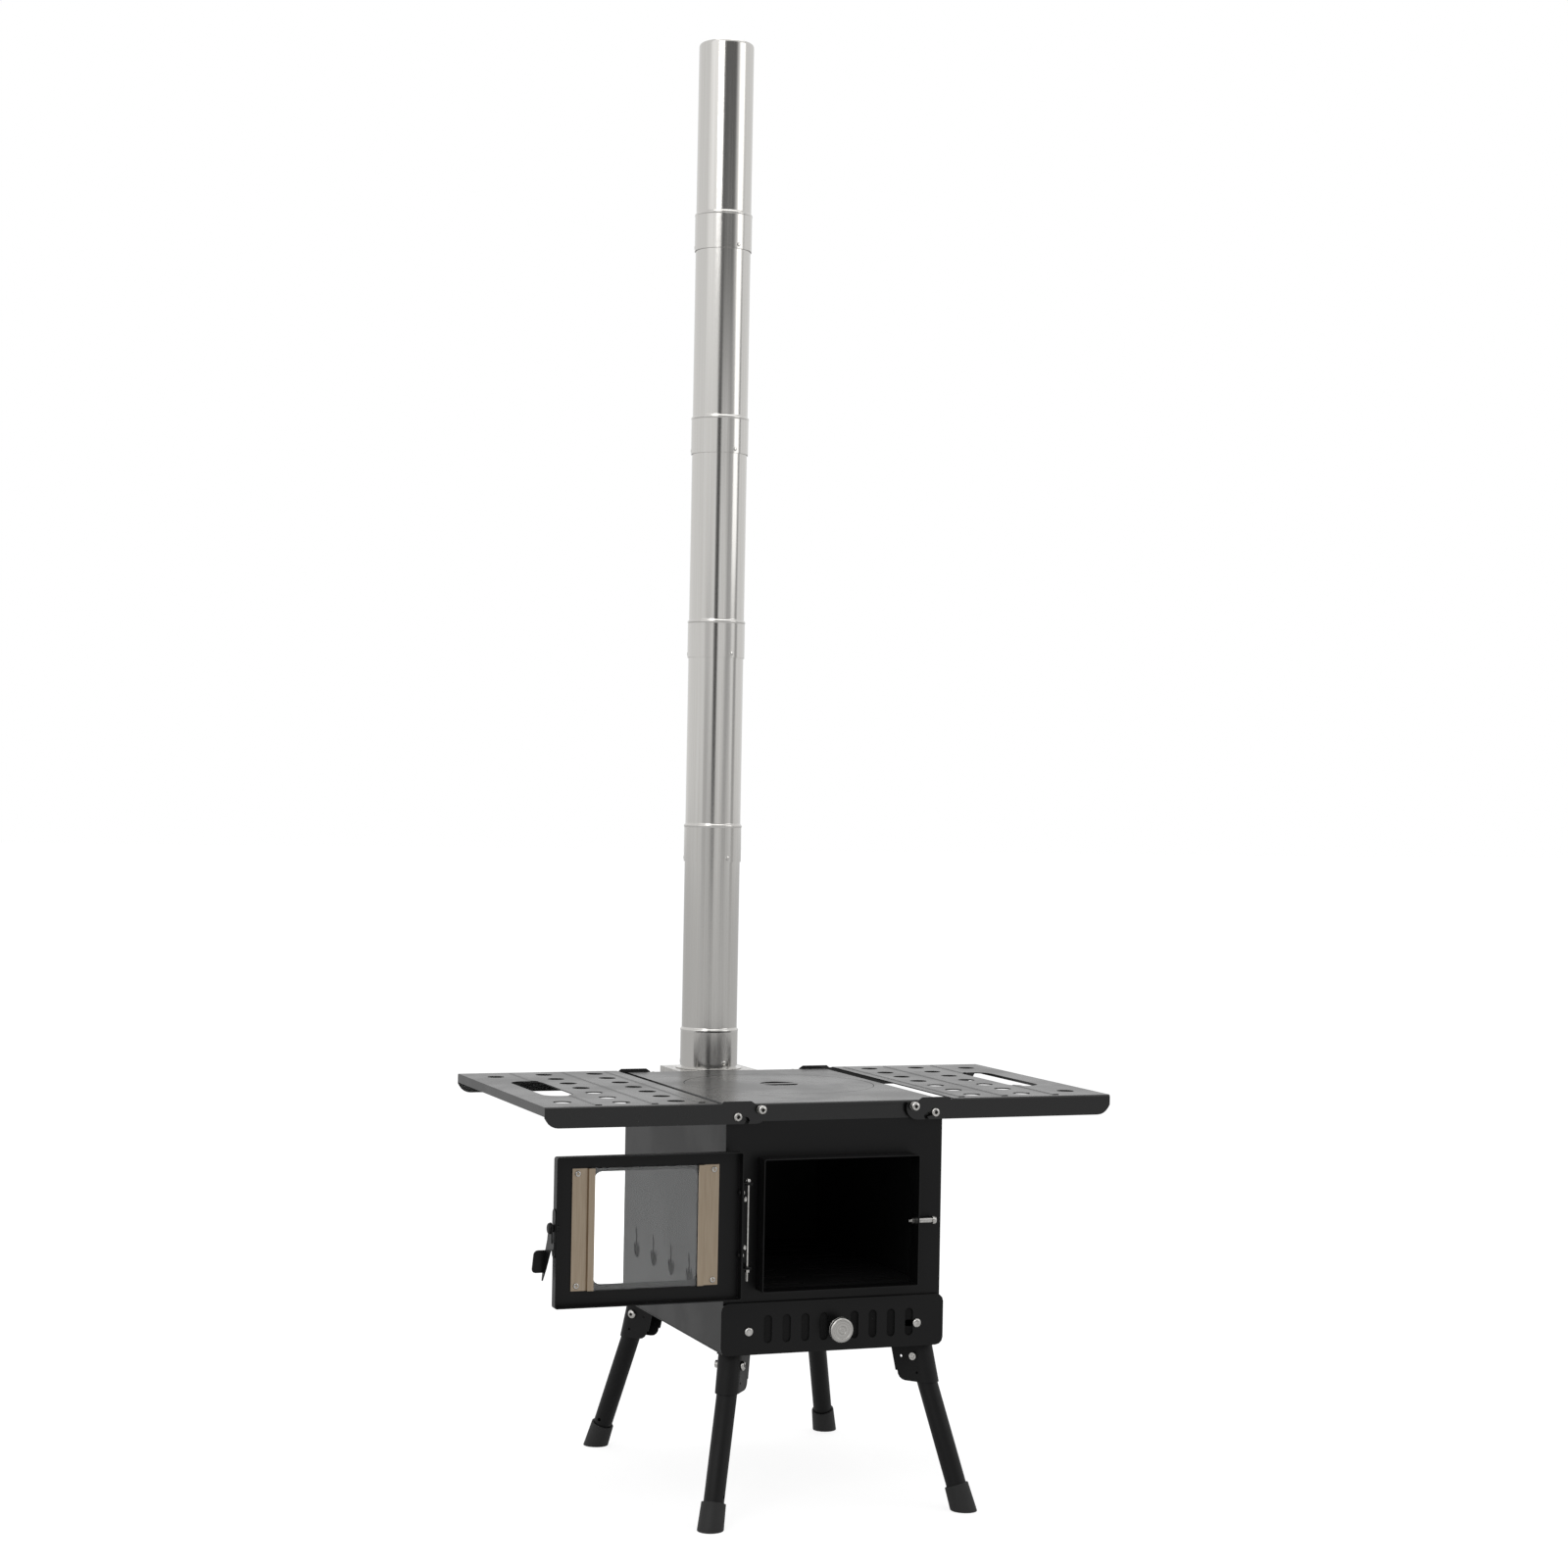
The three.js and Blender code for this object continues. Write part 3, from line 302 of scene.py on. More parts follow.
@dataclass(frozen=True)
class Finish:
    """A finish: its name, the record's material slot, and how to make its material."""

    name: str
    slot: str

    def board(self) -> tuple[Board, bpy.types.Node, bpy.types.NodeSocket]:
        """Starts a material with a Principled shader.

        Returns:
            The board, the shader node, and the object coordinates that patterns read.
        """
        material = bpy.data.materials.new(self.name)
        material.use_nodes = True
        board = Board(material.node_tree)
        shader = material.node_tree.nodes["Principled BSDF"]
        where = board.add("ShaderNodeTexCoord").outputs["Object"]
        return board, shader, where

    def dressed(
        self, board: Board, shader: bpy.types.Node, colour: object, roughness: object, normal: object
    ) -> bpy.types.Material:
        """Feeds the shader what varies over the surface.

        Args:
            board: The material's board.
            shader: Its Principled shader.
            colour: The socket with the colour.
            roughness: The socket with the roughness.
            normal: The socket with the normal.

        Returns:
            The material.
        """
        board.feed(shader.inputs["Base Color"], colour)
        board.feed(shader.inputs["Roughness"], roughness)
        board.feed(shader.inputs["Normal"], normal)
        return bpy.data.materials[self.name]

    def material(self) -> bpy.types.Material:
        """The finish's material, made the first time that it is asked for."""
        return bpy.data.materials.get(self.name) or self._build()

    def _build(self) -> bpy.types.Material:
        """Builds the material; each kind of finish has its own way."""
        raise NotImplementedError


@dataclass(frozen=True)
class Paint(Finish):
    """Heat-proof black paint with a sprayed grain, rubbed marks and a little dust."""

    groups: SurfaceGroups
    colour: Colour = (0.0052, 0.0052, 0.0054)
    worn: Colour = (0.024, 0.024, 0.024)
    shine: float = 0.24
    smooth: float = 0.32
    rough: float = 0.39
    bump: float = 0.04
    scuff_cover: float = 0.12
    dustiness: float = 0.06

    def _build(self) -> bpy.types.Material:
        """Mixes worn patches into the colour and lets the grain break the gloss."""
        board, shader, where = self.board()
        shader.inputs["Specular IOR Level"].default_value = self.shine
        grain = board.group(self.groups.grain, Vector=where)
        scuffs = board.group(self.groups.scuffs, Vector=where, Cover=self.scuff_cover)
        dust = board.group(self.groups.dust, Vector=where)
        rubbed = board.math("MULTIPLY", scuffs[0], 0.30)
        marks = board.math("ADD", rubbed, board.math("MULTIPLY", dust[0], self.dustiness))
        colour = board.blend(marks, self.colour, self.worn)
        rough = board.remap(grain["Patches"], 0.0, 1.0, self.smooth, self.rough)
        rough = board.math("ADD", rough, board.math("MULTIPLY", marks, 0.3))
        return self.dressed(board, shader, colour, rough, board.bump(grain["Height"], self.bump, 0.0004))


@dataclass(frozen=True)
class RolledSteel(Finish):
    """Bright stainless tube with streaks round an upright axis, and its seam at the back."""

    groups: SurfaceGroups
    axis: tuple[float, float] = (0.0, CHIMNEY_Y * MM)
    colour: Colour = (0.63, 0.62, 0.60)
    dull: Colour = (0.585, 0.57, 0.545)
    smooth: float = 0.13
    rough: float = 0.18

    def _build(self) -> bpy.types.Material:
        """Centres the coordinates on the tube's axis and draws the streaks round it."""
        board, shader, where = self.board()
        shader.inputs["Metallic"].default_value = 1.0
        offset = (-self.axis[0], -self.axis[1], 0.0)
        centred = board.add("ShaderNodeMapping", {"Vector": where, "Location": offset}).outputs[0]
        rolled = board.group(self.groups.rolled, Vector=centred)
        streaks = board.remap(rolled["Streaks"], 0.35, 0.68)
        dulled = board.math("MAXIMUM", streaks, rolled["Seam Mask"])
        colour = board.blend(dulled, self.colour, self.dull)
        rough = board.remap(streaks, 0.0, 1.0, self.smooth, self.rough)
        return self.dressed(board, shader, colour, rough, board.bump(rolled["Waves"], 0.04, 0.0012))


@dataclass(frozen=True)
class BrightSteel(Finish):
    """Bare steel with a fine brushed or turned grain, and painted shade: a dark colour inside screw sockets.
    """

    groups: SurfaceGroups
    colour: Colour = (0.60, 0.59, 0.57)
    dull: Colour = (0.46, 0.45, 0.43)
    # painted shade: the dark colour that stands in for the shade inside a screw's socket
    grime: Colour = (0.022, 0.021, 0.020)
    stretch: Colour = (1.0, 1.0, 1.0)
    scale: float = 260.0
    grain: float = 0.03
    smooth: float = 0.16
    rough: float = 0.28

    def _build(self) -> bpy.types.Material:
        """Stretches the grain along one axis and breaks the gloss with it, and paints shade into screw
        sockets.
        """
        board, shader, where = self.board()
        shader.inputs["Metallic"].default_value = 1.0
        along = board.add("ShaderNodeMapping", {"Vector": where, "Scale": self.stretch}).outputs[0]
        fine = board.group(self.groups.grain, Vector=along, Scale=self.scale)
        lines = board.remap(fine["Height"], 0.3, 0.7)
        # Painted shade: where the recess attribute is one, the colour turns to the dark socket shade.
        recess = board.add("ShaderNodeAttribute", attribute_name=RECESS).outputs["Fac"]
        colour = board.blend(recess, board.blend(lines, self.colour, self.dull), self.grime)
        rough = board.remap(lines, 0.0, 1.0, self.smooth, self.rough)
        return self.dressed(board, shader, colour, rough, board.bump(fine["Height"], self.grain, 0.0002))


@dataclass(frozen=True)
class TurnedSteel(Finish):
    """Bright steel with the fine rings that a lathe leaves round an axis along Y."""

    groups: SurfaceGroups
    centre: tuple[float, float] = (0.003, 0.241)
    colour: Colour = (0.58, 0.57, 0.55)
    dull: Colour = (0.40, 0.39, 0.37)
    rings: float = 950.0
    smooth: float = 0.19
    rough: float = 0.3

    def _build(self) -> bpy.types.Material:
        """Centres the coordinates on the axis, so that the grain only varies outward."""
        board, shader, where = self.board()
        shader.inputs["Metallic"].default_value = 1.0
        axes = board.add("ShaderNodeSeparateXYZ", {0: where}).outputs
        across = board.math("SUBTRACT", axes[0], self.centre[0])
        rise = board.math("SUBTRACT", axes[2], self.centre[1])
        level = board.add("ShaderNodeCombineXYZ", {0: across, 1: rise}).outputs[0]
        radius = board.add("ShaderNodeVectorMath", {0: level}, operation="LENGTH").outputs["Value"]
        line = board.add("ShaderNodeCombineXYZ", {0: radius}).outputs[0]
        grain = board.group(self.groups.grain, Vector=line, Scale=self.rings)
        lines = board.remap(grain["Height"], 0.3, 0.7)
        colour = board.blend(lines, self.colour, self.dull)
        rough = board.remap(lines, 0.0, 1.0, self.smooth, self.rough)
        return self.dressed(board, shader, colour, rough, board.bump(grain["Height"], 0.05, 0.0002))


@dataclass(frozen=True)
class FootRubber(Finish):
    """Moulded black rubber with a soft, uneven sheen."""

    groups: SurfaceGroups

    def _build(self) -> bpy.types.Material:
        """Sets a matt black and lets dust and grain lift it."""
        board, shader, where = self.board()
        grain = board.group(self.groups.grain, Vector=where, Scale=420.0)
        colour = board.blend(grain["Patches"], (0.006, 0.006, 0.0062), (0.014, 0.014, 0.014))
        rough = board.remap(grain["Patches"], 0.0, 1.0, 0.55, 0.72)
        return self.dressed(board, shader, colour, rough, board.bump(grain["Height"], 0.12, 0.0004))


@dataclass(frozen=True)
class ClearGlass(Finish):
    """Clear heat-proof glass with a trace of haze."""

    groups: SurfaceGroups
    haze: float = 0.004

    def _build(self) -> bpy.types.Material:
        """Sets clear transmission; only the gloss varies, by a faint haze."""
        board, shader, where = self.board()
        shader.inputs["Base Color"].default_value = (0.97, 0.985, 0.98, 1.0)
        shader.inputs["Transmission Weight"].default_value = 1.0
        shader.inputs["IOR"].default_value = 1.46
        grain = board.group(self.groups.grain, Vector=where)
        board.feed(shader.inputs["Roughness"], board.remap(grain["Patches"], 0.0, 1.0, 0.0, self.haze))
        return bpy.data.materials[self.name]


class FinishBook:
    """Every finish on the stove, by its part in the object."""

    def __init__(self) -> None:
        groups = SurfaceGroups()
        self.body_paint = Paint("black_body_paint", "black_paint", groups)
        self.top_paint = Paint(
            "black_top_paint", "black_paint", groups, shine=0.55, smooth=0.25, rough=0.31, scuff_cover=0.14
        )
        self.leg_paint = Paint("black_leg_paint", "black_paint", groups, smooth=0.42, rough=0.56, bump=0.09)
        # Black paint for the firebox's inside, darker and more matt than the body's paint; the darker colour
        # also stands in for the shade inside the firebox.
        self.inner_paint = Paint(
            "black_firebox_paint",
            "inner_steel",
            groups,
            colour=(0.004, 0.004, 0.004),
            worn=(0.014, 0.013, 0.013),
            smooth=0.72,
            rough=0.9,
        )
        self.pipe_steel = RolledSteel("stainless_rolled_tube", "stainless", groups)
        self.box_steel = BrightSteel(
            "stainless_folded_box", "stainless", groups, stretch=(1.0, 1.0, 0.06), rough=0.28
        )
        self.knob_steel = TurnedSteel("turned_knob_steel", "stainless", groups)
        self.screw_steel = BrightSteel("bright_screw_steel", "screw_steel", groups, smooth=0.14, rough=0.26)
        self.clamp_steel = BrightSteel(
            "heat_tinted_clamp_steel",
            "clamp_steel",
            groups,
            colour=(0.42, 0.345, 0.26),
            dull=(0.385, 0.31, 0.23),
            stretch=(1.0, 1.0, 0.04),
            scale=600.0,
            grain=0.015,
            smooth=0.33,
            rough=0.38,
        )
        self.rubber = FootRubber("moulded_foot_rubber", "foot_rubber", groups)
        self.glass = ClearGlass("clear_door_glass", "clear_glass", groups)


# ------------------------------------------------------------------------------ mesh helpers


def finish_mesh(form: bmesh.types.BMesh, name: str, sharp_degrees: float) -> bpy.types.Mesh:
    """Turns a bmesh into a smooth mesh with sharp edges where faces meet steeply.

    Args:
        form: The form, which is freed.
        name: The mesh's name.
        sharp_degrees: Edges steeper than this stay sharp.

    Returns:
        The new mesh.
    """
    mesh = bpy.data.meshes.new(name)
    form.to_mesh(mesh)
    form.free()
    mesh.shade_smooth()
    mesh.set_sharp_from_angle(angle=math.radians(sharp_degrees))
    return mesh


def rounded(profile: Profile, steps: int = 3) -> list[tuple[float, float]]:
    """Rounds the corners of an open profile.

    Args:
        profile: Points of (radius, height), or (radius, height, fillet) at a corner to round.
        steps: Facets in each fillet.

    Returns:
        Points of (radius, height).
    """
    points: list[tuple[float, float]] = []
    for i, (x, y, *rest) in enumerate(profile):
        fillet = rest[0] if rest else 0.0
        if fillet <= 0 or i in (0, len(profile) - 1):
            points.append((x, y))
            continue
        corner = Vector((x, y))
        before = (Vector(profile[i - 1][:2]) - corner).normalized()
        after = (Vector(profile[i + 1][:2]) - corner).normalized()
        start, end = corner + before * fillet, corner + after * fillet
        for k in range(steps + 1):
            t = k / steps
            spot = start * (1 - t) ** 2 + corner * 2 * t * (1 - t) + end * t**2
            points.append((spot.x, spot.y))
    return points


@dataclass(frozen=True)
class Turned:
    """A turned form whose profile runs from pole to pole, or round in a loop.

    Attributes:
        profile: Points of (radius, height) or (radius, height, fillet), in mm.
        segments: Facets round the axis.
        socket: Across-corner radius of a six-sided socket in the end, or zero.
        socket_depth: Depth of that socket, in mm.
    """

    profile: Profile
    segments: int = 40
    socket: float = 0.0
    socket_depth: float = 1.6

    def add_to(self, form: bmesh.types.BMesh, place: Vector, direction: Vector) -> None:
        """Adds the form to a bmesh.

        Args:
            form: The bmesh that receives it.
            place: Where height zero is, in mm.
            direction: The axis, towards rising height.
        """
        recess = form.verts.layers.float.get(RECESS) or form.verts.layers.float.new(RECESS)
        points = [(r, h, False) for r, h in rounded(self.profile)]
        solid_rings = len(points)
        if self.socket:
            top = points.pop()[1]
            depth = top - self.socket_depth
            solid_rings = len(points) + 2
            points += [
                (self.socket * 1.12, top - 0.12, True),
                (self.socket, top - 0.42, True),
                (self.socket, depth, True),
                (0.0, depth - 0.5, False),
            ]
        turn = Vector((0, 0, 1)).rotation_difference(direction.normalized()).to_matrix()
        rings = [self._ring(form, point, turn, place) for point in points]
        # The socket's rings are marked so that the bright steel paints shade into them.
        for ring in rings[solid_rings:]:
            for vert in ring:
                vert[recess] = 1.0
        if points[0][0] > 0 and points[0] == points[-1]:
            rings[-1] = rings[0]
        faces = []
        for low, high in zip(rings, rings[1:]):
            count = max(len(low), len(high))
            for k in range(count):
                a, b = low[k % len(low)], low[(k + 1) % len(low)]
                c, d = high[(k + 1) % len(high)], high[k % len(high)]
                corners = list(dict.fromkeys((a, b, c, d)))
                if len(corners) > 2:
                    faces.append(form.faces.new(corners))
        bmesh.ops.recalc_face_normals(form, faces=faces)

    def _ring(
        self, form: bmesh.types.BMesh, point: tuple[float, float, bool], turn: Matrix, place: Vector
    ) -> list[bmesh.types.BMVert]:
        """One ring of points, or the single point of a pole."""
        radius, height, sixfold = point
        if radius <= 1e-6:
            return [form.verts.new((turn @ Vector((0, 0, height)) + place) * MM)]
        ring = []
        for k in range(self.segments):
            angle = 2 * math.pi * k / self.segments
            reach = radius
            if sixfold:
                reach *= math.cos(math.pi / 6) / math.cos(angle % (math.pi / 3) - math.pi / 6)
            spot = Vector((reach * math.cos(angle), reach * math.sin(angle), height))
            ring.append(form.verts.new((turn @ spot + place) * MM))
        return ring


class Workshop:
    """Makes pieces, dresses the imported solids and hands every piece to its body.

    Args:
        book: The finishes.
    """

    def __init__(self, frame: dict, book: FinishBook) -> None:
        self.nodes = frame["nodes"]
        self.book = book
        bodies = frame["record"]["behaviour"]["bodies"]
        self.body_of = {node: body for body, nodes in bodies.items() for node in nodes}

    def place(
        self, mesh: bpy.types.Mesh, name: str, finish: Finish, body: str, replaces: Iterable[str] = ()
    ) -> bpy.types.Object:
        """Adds a finished mesh to the scene.

        Args:
            mesh: The mesh, in the row frame.
            name: The piece's name.
            finish: Its finish.
            body: The body that carries it.
            replaces: Names of the solids that it stands for.

        Returns:
            The new piece.
        """
        mesh.materials.clear()
        mesh.materials.append(finish.material())
        for face in mesh.polygons:
            face.material_index = 0
        piece = bpy.data.objects.new(name, mesh)
        bpy.context.scene.collection.objects.link(piece)
        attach(piece, body)
        if replaces:
            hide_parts(*replaces)
        log.info("%s rides on %s with %d faces", name, body, len(mesh.polygons))
        return piece

    def merged(self, node: str) -> bmesh.types.BMesh:
        """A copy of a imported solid's mesh with its loose triangles joined into flat faces."""
        form = bmesh.new()
        form.from_mesh(self.nodes[node].data)
        bmesh.ops.remove_doubles(form, verts=form.verts, dist=4e-6)
        bmesh.ops.dissolve_degenerate(form, dist=1e-6, edges=form.edges)
        bmesh.ops.dissolve_limit(form, angle_limit=math.radians(1.0), verts=form.verts, edges=form.edges)
        return form

    def eased(
        self,
        node: str,
        finish: Finish,
        ease: float = 0.3,
        corner_degrees: float = 34.0,
        steps: int = 2,
        stages: Sequence["Stage"] = (),
    ) -> bpy.types.Object:
        """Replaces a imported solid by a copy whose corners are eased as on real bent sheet.

        Args:
            node: The solid.
            finish: Its finish.
            ease: Width of the eased corners, in mm.
            corner_degrees: Corners steeper than this are eased.
            steps: Facets in each eased corner.
            stages: Geometry node stages that work on the copy first.

        Returns:
            The new piece.
        """
        mesh = bpy.data.meshes.new(node)
        form = self.merged(node)
        form.to_mesh(mesh)
        form.free()
        mesh.shade_smooth()
        draft = bpy.data.objects.new(f"{node}_draft", mesh)
        bpy.context.scene.collection.objects.link(draft)
        for stage in stages:
            stage.apply_to(draft)
        bevel = draft.modifiers.new("eased corners", "BEVEL")
        bevel.width = ease * MM
        bevel.segments = steps
        bevel.limit_method = "ANGLE"
        bevel.angle_limit = math.radians(corner_degrees)
        self.level(draft)
        return self.place(self.baked(draft, node), f"{node}_dressed", finish, self.body_of[node], [node])

    def level(self, draft: bpy.types.Object) -> None:
        """Makes the large faces of a draft shade flat, and the small faces between them round."""
        modifier = draft.modifiers.new("level faces", "WEIGHTED_NORMAL")
        modifier.weight = 100
        modifier.keep_sharp = True

    def levelled(self, form: bmesh.types.BMesh, name: str, sharp_degrees: float) -> bpy.types.Mesh:
        """Turns a bmesh into a mesh whose large faces shade flat.

        Args:
            form: The form, which is freed.
            name: The mesh's name.
            sharp_degrees: Edges steeper than this stay sharp.

        Returns:
            The new mesh.
        """
        draft = bpy.data.objects.new(f"{name}_draft", finish_mesh(form, name, sharp_degrees))
        bpy.context.scene.collection.objects.link(draft)
        self.level(draft)
        return self.baked(draft, name)

    def baked(self, draft: bpy.types.Object, name: str) -> bpy.types.Mesh:
        """Evaluates a draft with its modifiers into a plain mesh, and removes the draft."""
        graph = bpy.context.evaluated_depsgraph_get()
        graph.update()
        mesh = bpy.data.meshes.new_from_object(draft.evaluated_get(graph), depsgraph=graph)
        mesh.name = f"{name}_dressed"
        bpy.data.objects.remove(draft, do_unlink=True)
        return mesh

    def turned(
        self,
        forms: Sequence[tuple[Turned, Vector, Vector]],
        name: str,
        finish: Finish,
        body: str,
        replaces: Iterable[str] = (),
    ) -> bpy.types.Object:
        """Makes one piece from turned forms.

        Args:
            forms: Each form with its place in mm and its direction.
            name: The piece's name.
            finish: Its finish.
            body: The body that carries it.
            replaces: Names of the solids that it stands for.

        Returns:
            The new piece.
        """
        shape = bmesh.new()
        for form, place, direction in forms:
            form.add_to(shape, place, direction)
        return self.place(self.levelled(shape, name, 35.0), name, finish, body, replaces)


# ------------------------------------------------------------------------------ geometry nodes


GEOMETRY = "NodeSocketGeometry"


@dataclass
class Stage:
    """One geometry nodes step: a tree and the values of its named inputs."""

    tree: bpy.types.NodeTree
    values: dict[str, object] = field(default_factory=dict)

    def apply_to(self, draft: bpy.types.Object) -> None:
        """Adds the step to a draft object as a modifier, and sets its inputs."""
        modifier = draft.modifiers.new(self.tree.name, "NODES")
        modifier.node_group = self.tree
        for socket in self.tree.interface.items_tree:
            if socket.item_type == "SOCKET" and socket.name in self.values:
                modifier[socket.identifier] = self.values[socket.name]


class FastenerTree:
    """A tree that sets one head on every point, turned along the point's own direction."""

    def __init__(self) -> None:
        inputs = {
            "Points": (GEOMETRY, None),
            "Head": ("NodeSocketObject", None),
            "Size": ("NodeSocketFloat", 1.0),
            "Finish": ("NodeSocketMaterial", None),
        }
        board = new_group("Fasteners on points", "GeometryNodeTree", inputs, {"Geometry": GEOMETRY})
        given = board.add("NodeGroupInput").outputs
        head = board.add("GeometryNodeObjectInfo", {"Object": given["Head"], "As Instance": True})
        facing = board.add("GeometryNodeInputNamedAttribute", {"Name": "facing"}, data_type="FLOAT_VECTOR")
        direction = {"Vector": facing.outputs["Attribute"]}
        turn = board.add("FunctionNodeAlignRotationToVector", direction, axis="Z")
        points = board.add("GeometryNodeMeshToPoints", {"Mesh": given["Points"]})
        size = board.add("ShaderNodeCombineXYZ", {0: given["Size"], 1: given["Size"], 2: given["Size"]})
        placed = board.add(
            "GeometryNodeInstanceOnPoints",
            {
                "Points": points.outputs[0],
                "Instance": head.outputs["Geometry"],
                "Rotation": turn.outputs[0],
                "Scale": size.outputs[0],
            },
        )
        whole = board.add("GeometryNodeRealizeInstances", {0: placed.outputs[0]})
        painted = {"Geometry": whole.outputs[0], "Material": given["Finish"]}
        done = board.add("GeometryNodeSetMaterial", painted)
        board.add("NodeGroupOutput", {"Geometry": done.outputs[0]})
        self.tree = board.tree

    def make(
        self,
        shop: Workshop,
        name: str,
        head: Turned,
        spots: Sequence[tuple[Vector, Vector]],
        finish: Finish,
        body: str,
    ) -> bpy.types.Object:
        """Makes one piece of equal heads.

        Args:
            shop: The workshop.
            name: The piece's name.
            head: The head's form, with height zero on the face that it sits on.
            spots: Each head's place in mm and its outward direction.
            finish: The heads' finish.
            body: The body that carries them.

        Returns:
            The new piece.
        """
        shape = bmesh.new()
        head.add_to(shape, Vector(), Vector((0, 0, 1)))
        pattern = bpy.data.objects.new(f"{name}_pattern", finish_mesh(shape, f"{name}_pattern", 35.0))
        bpy.context.scene.collection.objects.link(pattern)
        mesh = bpy.data.meshes.new(name)
        mesh.from_pydata([place * MM for place, _ in spots], [], [])
        facing = mesh.attributes.new("facing", "FLOAT_VECTOR", "POINT")
        for item, (_, direction) in zip(facing.data, spots):
            item.vector = direction.normalized()
        draft = bpy.data.objects.new(f"{name}_draft", mesh)
        bpy.context.scene.collection.objects.link(draft)
        Stage(self.tree, {"Head": pattern, "Finish": finish.material()}).apply_to(draft)
        result = shop.baked(draft, name)
        bpy.data.objects.remove(pattern, do_unlink=True)
        return shop.place(result, name, finish, body)


class PerforationTree:
    """A tree that drills equal round holes through a sheet at given points."""

    def __init__(self) -> None:
        inputs = {
            "Sheet": (GEOMETRY, None),
            "Centres": ("NodeSocketObject", None),
            "Radius": ("NodeSocketFloat", 0.01),
            "Depth": ("NodeSocketFloat", 0.02),
            "Sides": ("NodeSocketInt", 40),
        }
        board = new_group("Round holes", "GeometryNodeTree", inputs, {"Geometry": GEOMETRY})
        given = board.add("NodeGroupInput").outputs
        centres = board.add("GeometryNodeObjectInfo", {"Object": given["Centres"]})
        points = board.add("GeometryNodeMeshToPoints", {"Mesh": centres.outputs["Geometry"]})
        drill = board.add(
            "GeometryNodeMeshCylinder",
            {"Vertices": given["Sides"], "Radius": given["Radius"], "Depth": given["Depth"]},
        )
        placed = {"Points": points.outputs[0], "Instance": drill.outputs[0]}
        drills = board.add("GeometryNodeInstanceOnPoints", placed)
        whole = board.add("GeometryNodeRealizeInstances", {0: drills.outputs[0]})
        bodies = {0: given["Sheet"], 1: whole.outputs[0]}
        cut = board.add("GeometryNodeMeshBoolean", bodies, operation="DIFFERENCE")
        board.add("NodeGroupOutput", {"Geometry": cut.outputs[0]})
        self.tree = board.tree


# ------------------------------------------------------------------------------ sub-assemblies


@dataclass
class Fastening:
    """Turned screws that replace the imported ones, in mm."""

    shop: Workshop
    shelf_pivot_x: float = 137.2
    shelf_pivot_z: float = 515.0
    shelf_stop_x: float = 106.2
    shelf_stop_z: float = 524.0
    inner: float = 204.0
    shoulder: float = 210.3
    outer: float = 216.8
    panel_screw_x: float = 116.5
    panel_screw_z: float = 241.0

    def build(self) -> None:
        """Makes the shelf screws and pins, and the air panel's screws."""
        for end in End:
            for side in Side:
                self._shelf_pair(end, side)
        for side in Side:
            self._panel_screw(side)

    def _shelf_pair(self, end: End, side: Side) -> None:
        """Makes one pivot screw and one stop pin."""
        steel = self.shop.book.screw_steel
        outward = Vector((0, end.value, 0))
        inner, shoulder, outer = self.inner, self.shoulder, self.outer
        pivot = Turned(
            [
                (0, inner), (2.5, inner), (2.5, shoulder), (5, shoulder), (5, outer - 2.1),
                (2.5, outer - 2.1), (2.5, outer), (5.8, outer, 0.3), (5.8, outer + 1.7, 0.8),
                (4.5, outer + 3.2, 0.9), (0, outer + 3.7),
            ],
            socket=2.5,
        )
        stop = Turned(
            [
                (0, inner), (2.5, inner), (2.5, shoulder), (3, shoulder), (3, outer), (5.4, outer, 0.3),
                (5.4, outer + 1.6, 0.3), (3, outer + 1.6), (3, outer + 6), (5.8, outer + 6, 0.3),
                (5.8, outer + 7.8, 0.8), (4.4, outer + 9.3, 0.9), (0, outer + 9.9),
            ],
            socket=2.5,
        )
        word = f"{end.word}_{side.word}"
        for kind, form, x, z in (
            ("pivot", pivot, self.shelf_pivot_x, self.shelf_pivot_z),
            ("stop", stop, self.shelf_stop_x, self.shelf_stop_z),
        ):
            place = Vector((side.value * x, FIREBOX_CENTRE_Y, z))
            node = f"shelf_{kind}_{word}"
            self.shop.turned([(form, place, outward)], f"{node}_screw", steel, "stove", [node])

    def _panel_screw(self, side: Side) -> None:
        """Makes one of the domed screws that hold the air panel."""
        profile = [
            (0, -12), (2.5, -12), (2.5, -4.2), (3.6, -4.2), (3.6, -1.7), (2.5, -1.7), (2.5, 0.3),
            (6, 0.3, 0.3), (6, 1.6, 0.6), (4.6, 3.4, 1.4), (0, 4.2),
        ]
        node = f"ash_panel_screw_{side.word}"
        place = Vector((side.value * self.panel_screw_x, FRONT - PANEL_PROUD, self.panel_screw_z))
        forms = [(Turned(profile), place, FORWARD)]
        self.shop.turned(forms, f"{node}_head", self.shop.book.screw_steel, "stove", [node])


@dataclass
class Firebox:
    """The painted sheet body, its inner walls, grate, collar and cooking surface."""

    shop: Workshop
    outer_panels: tuple[str, ...] = (
        "front_panel", "rear_panel", "bottom_panel", "side_panel_left", "side_panel_right",
    )
    inner_parts: tuple[str, ...] = ("side_liner_left", "side_liner_right", "fire_grate")

    def build(self) -> None:
        """Dresses every panel of the firebox and its cooking surface."""
        book = self.shop.book
        for node in self.outer_panels:
            self.shop.eased(node, book.body_paint, ease=0.25)
        for node in self.inner_parts:
            self.shop.eased(node, book.inner_paint, ease=0.2)
        self.shop.eased("door_collar", book.body_paint, ease=0.7, steps=3)
        self.shop.eased("cooktop_plate", book.top_paint, ease=0.4)
        self.shop.eased("cook_lid", book.top_paint, ease=0.5, steps=3)


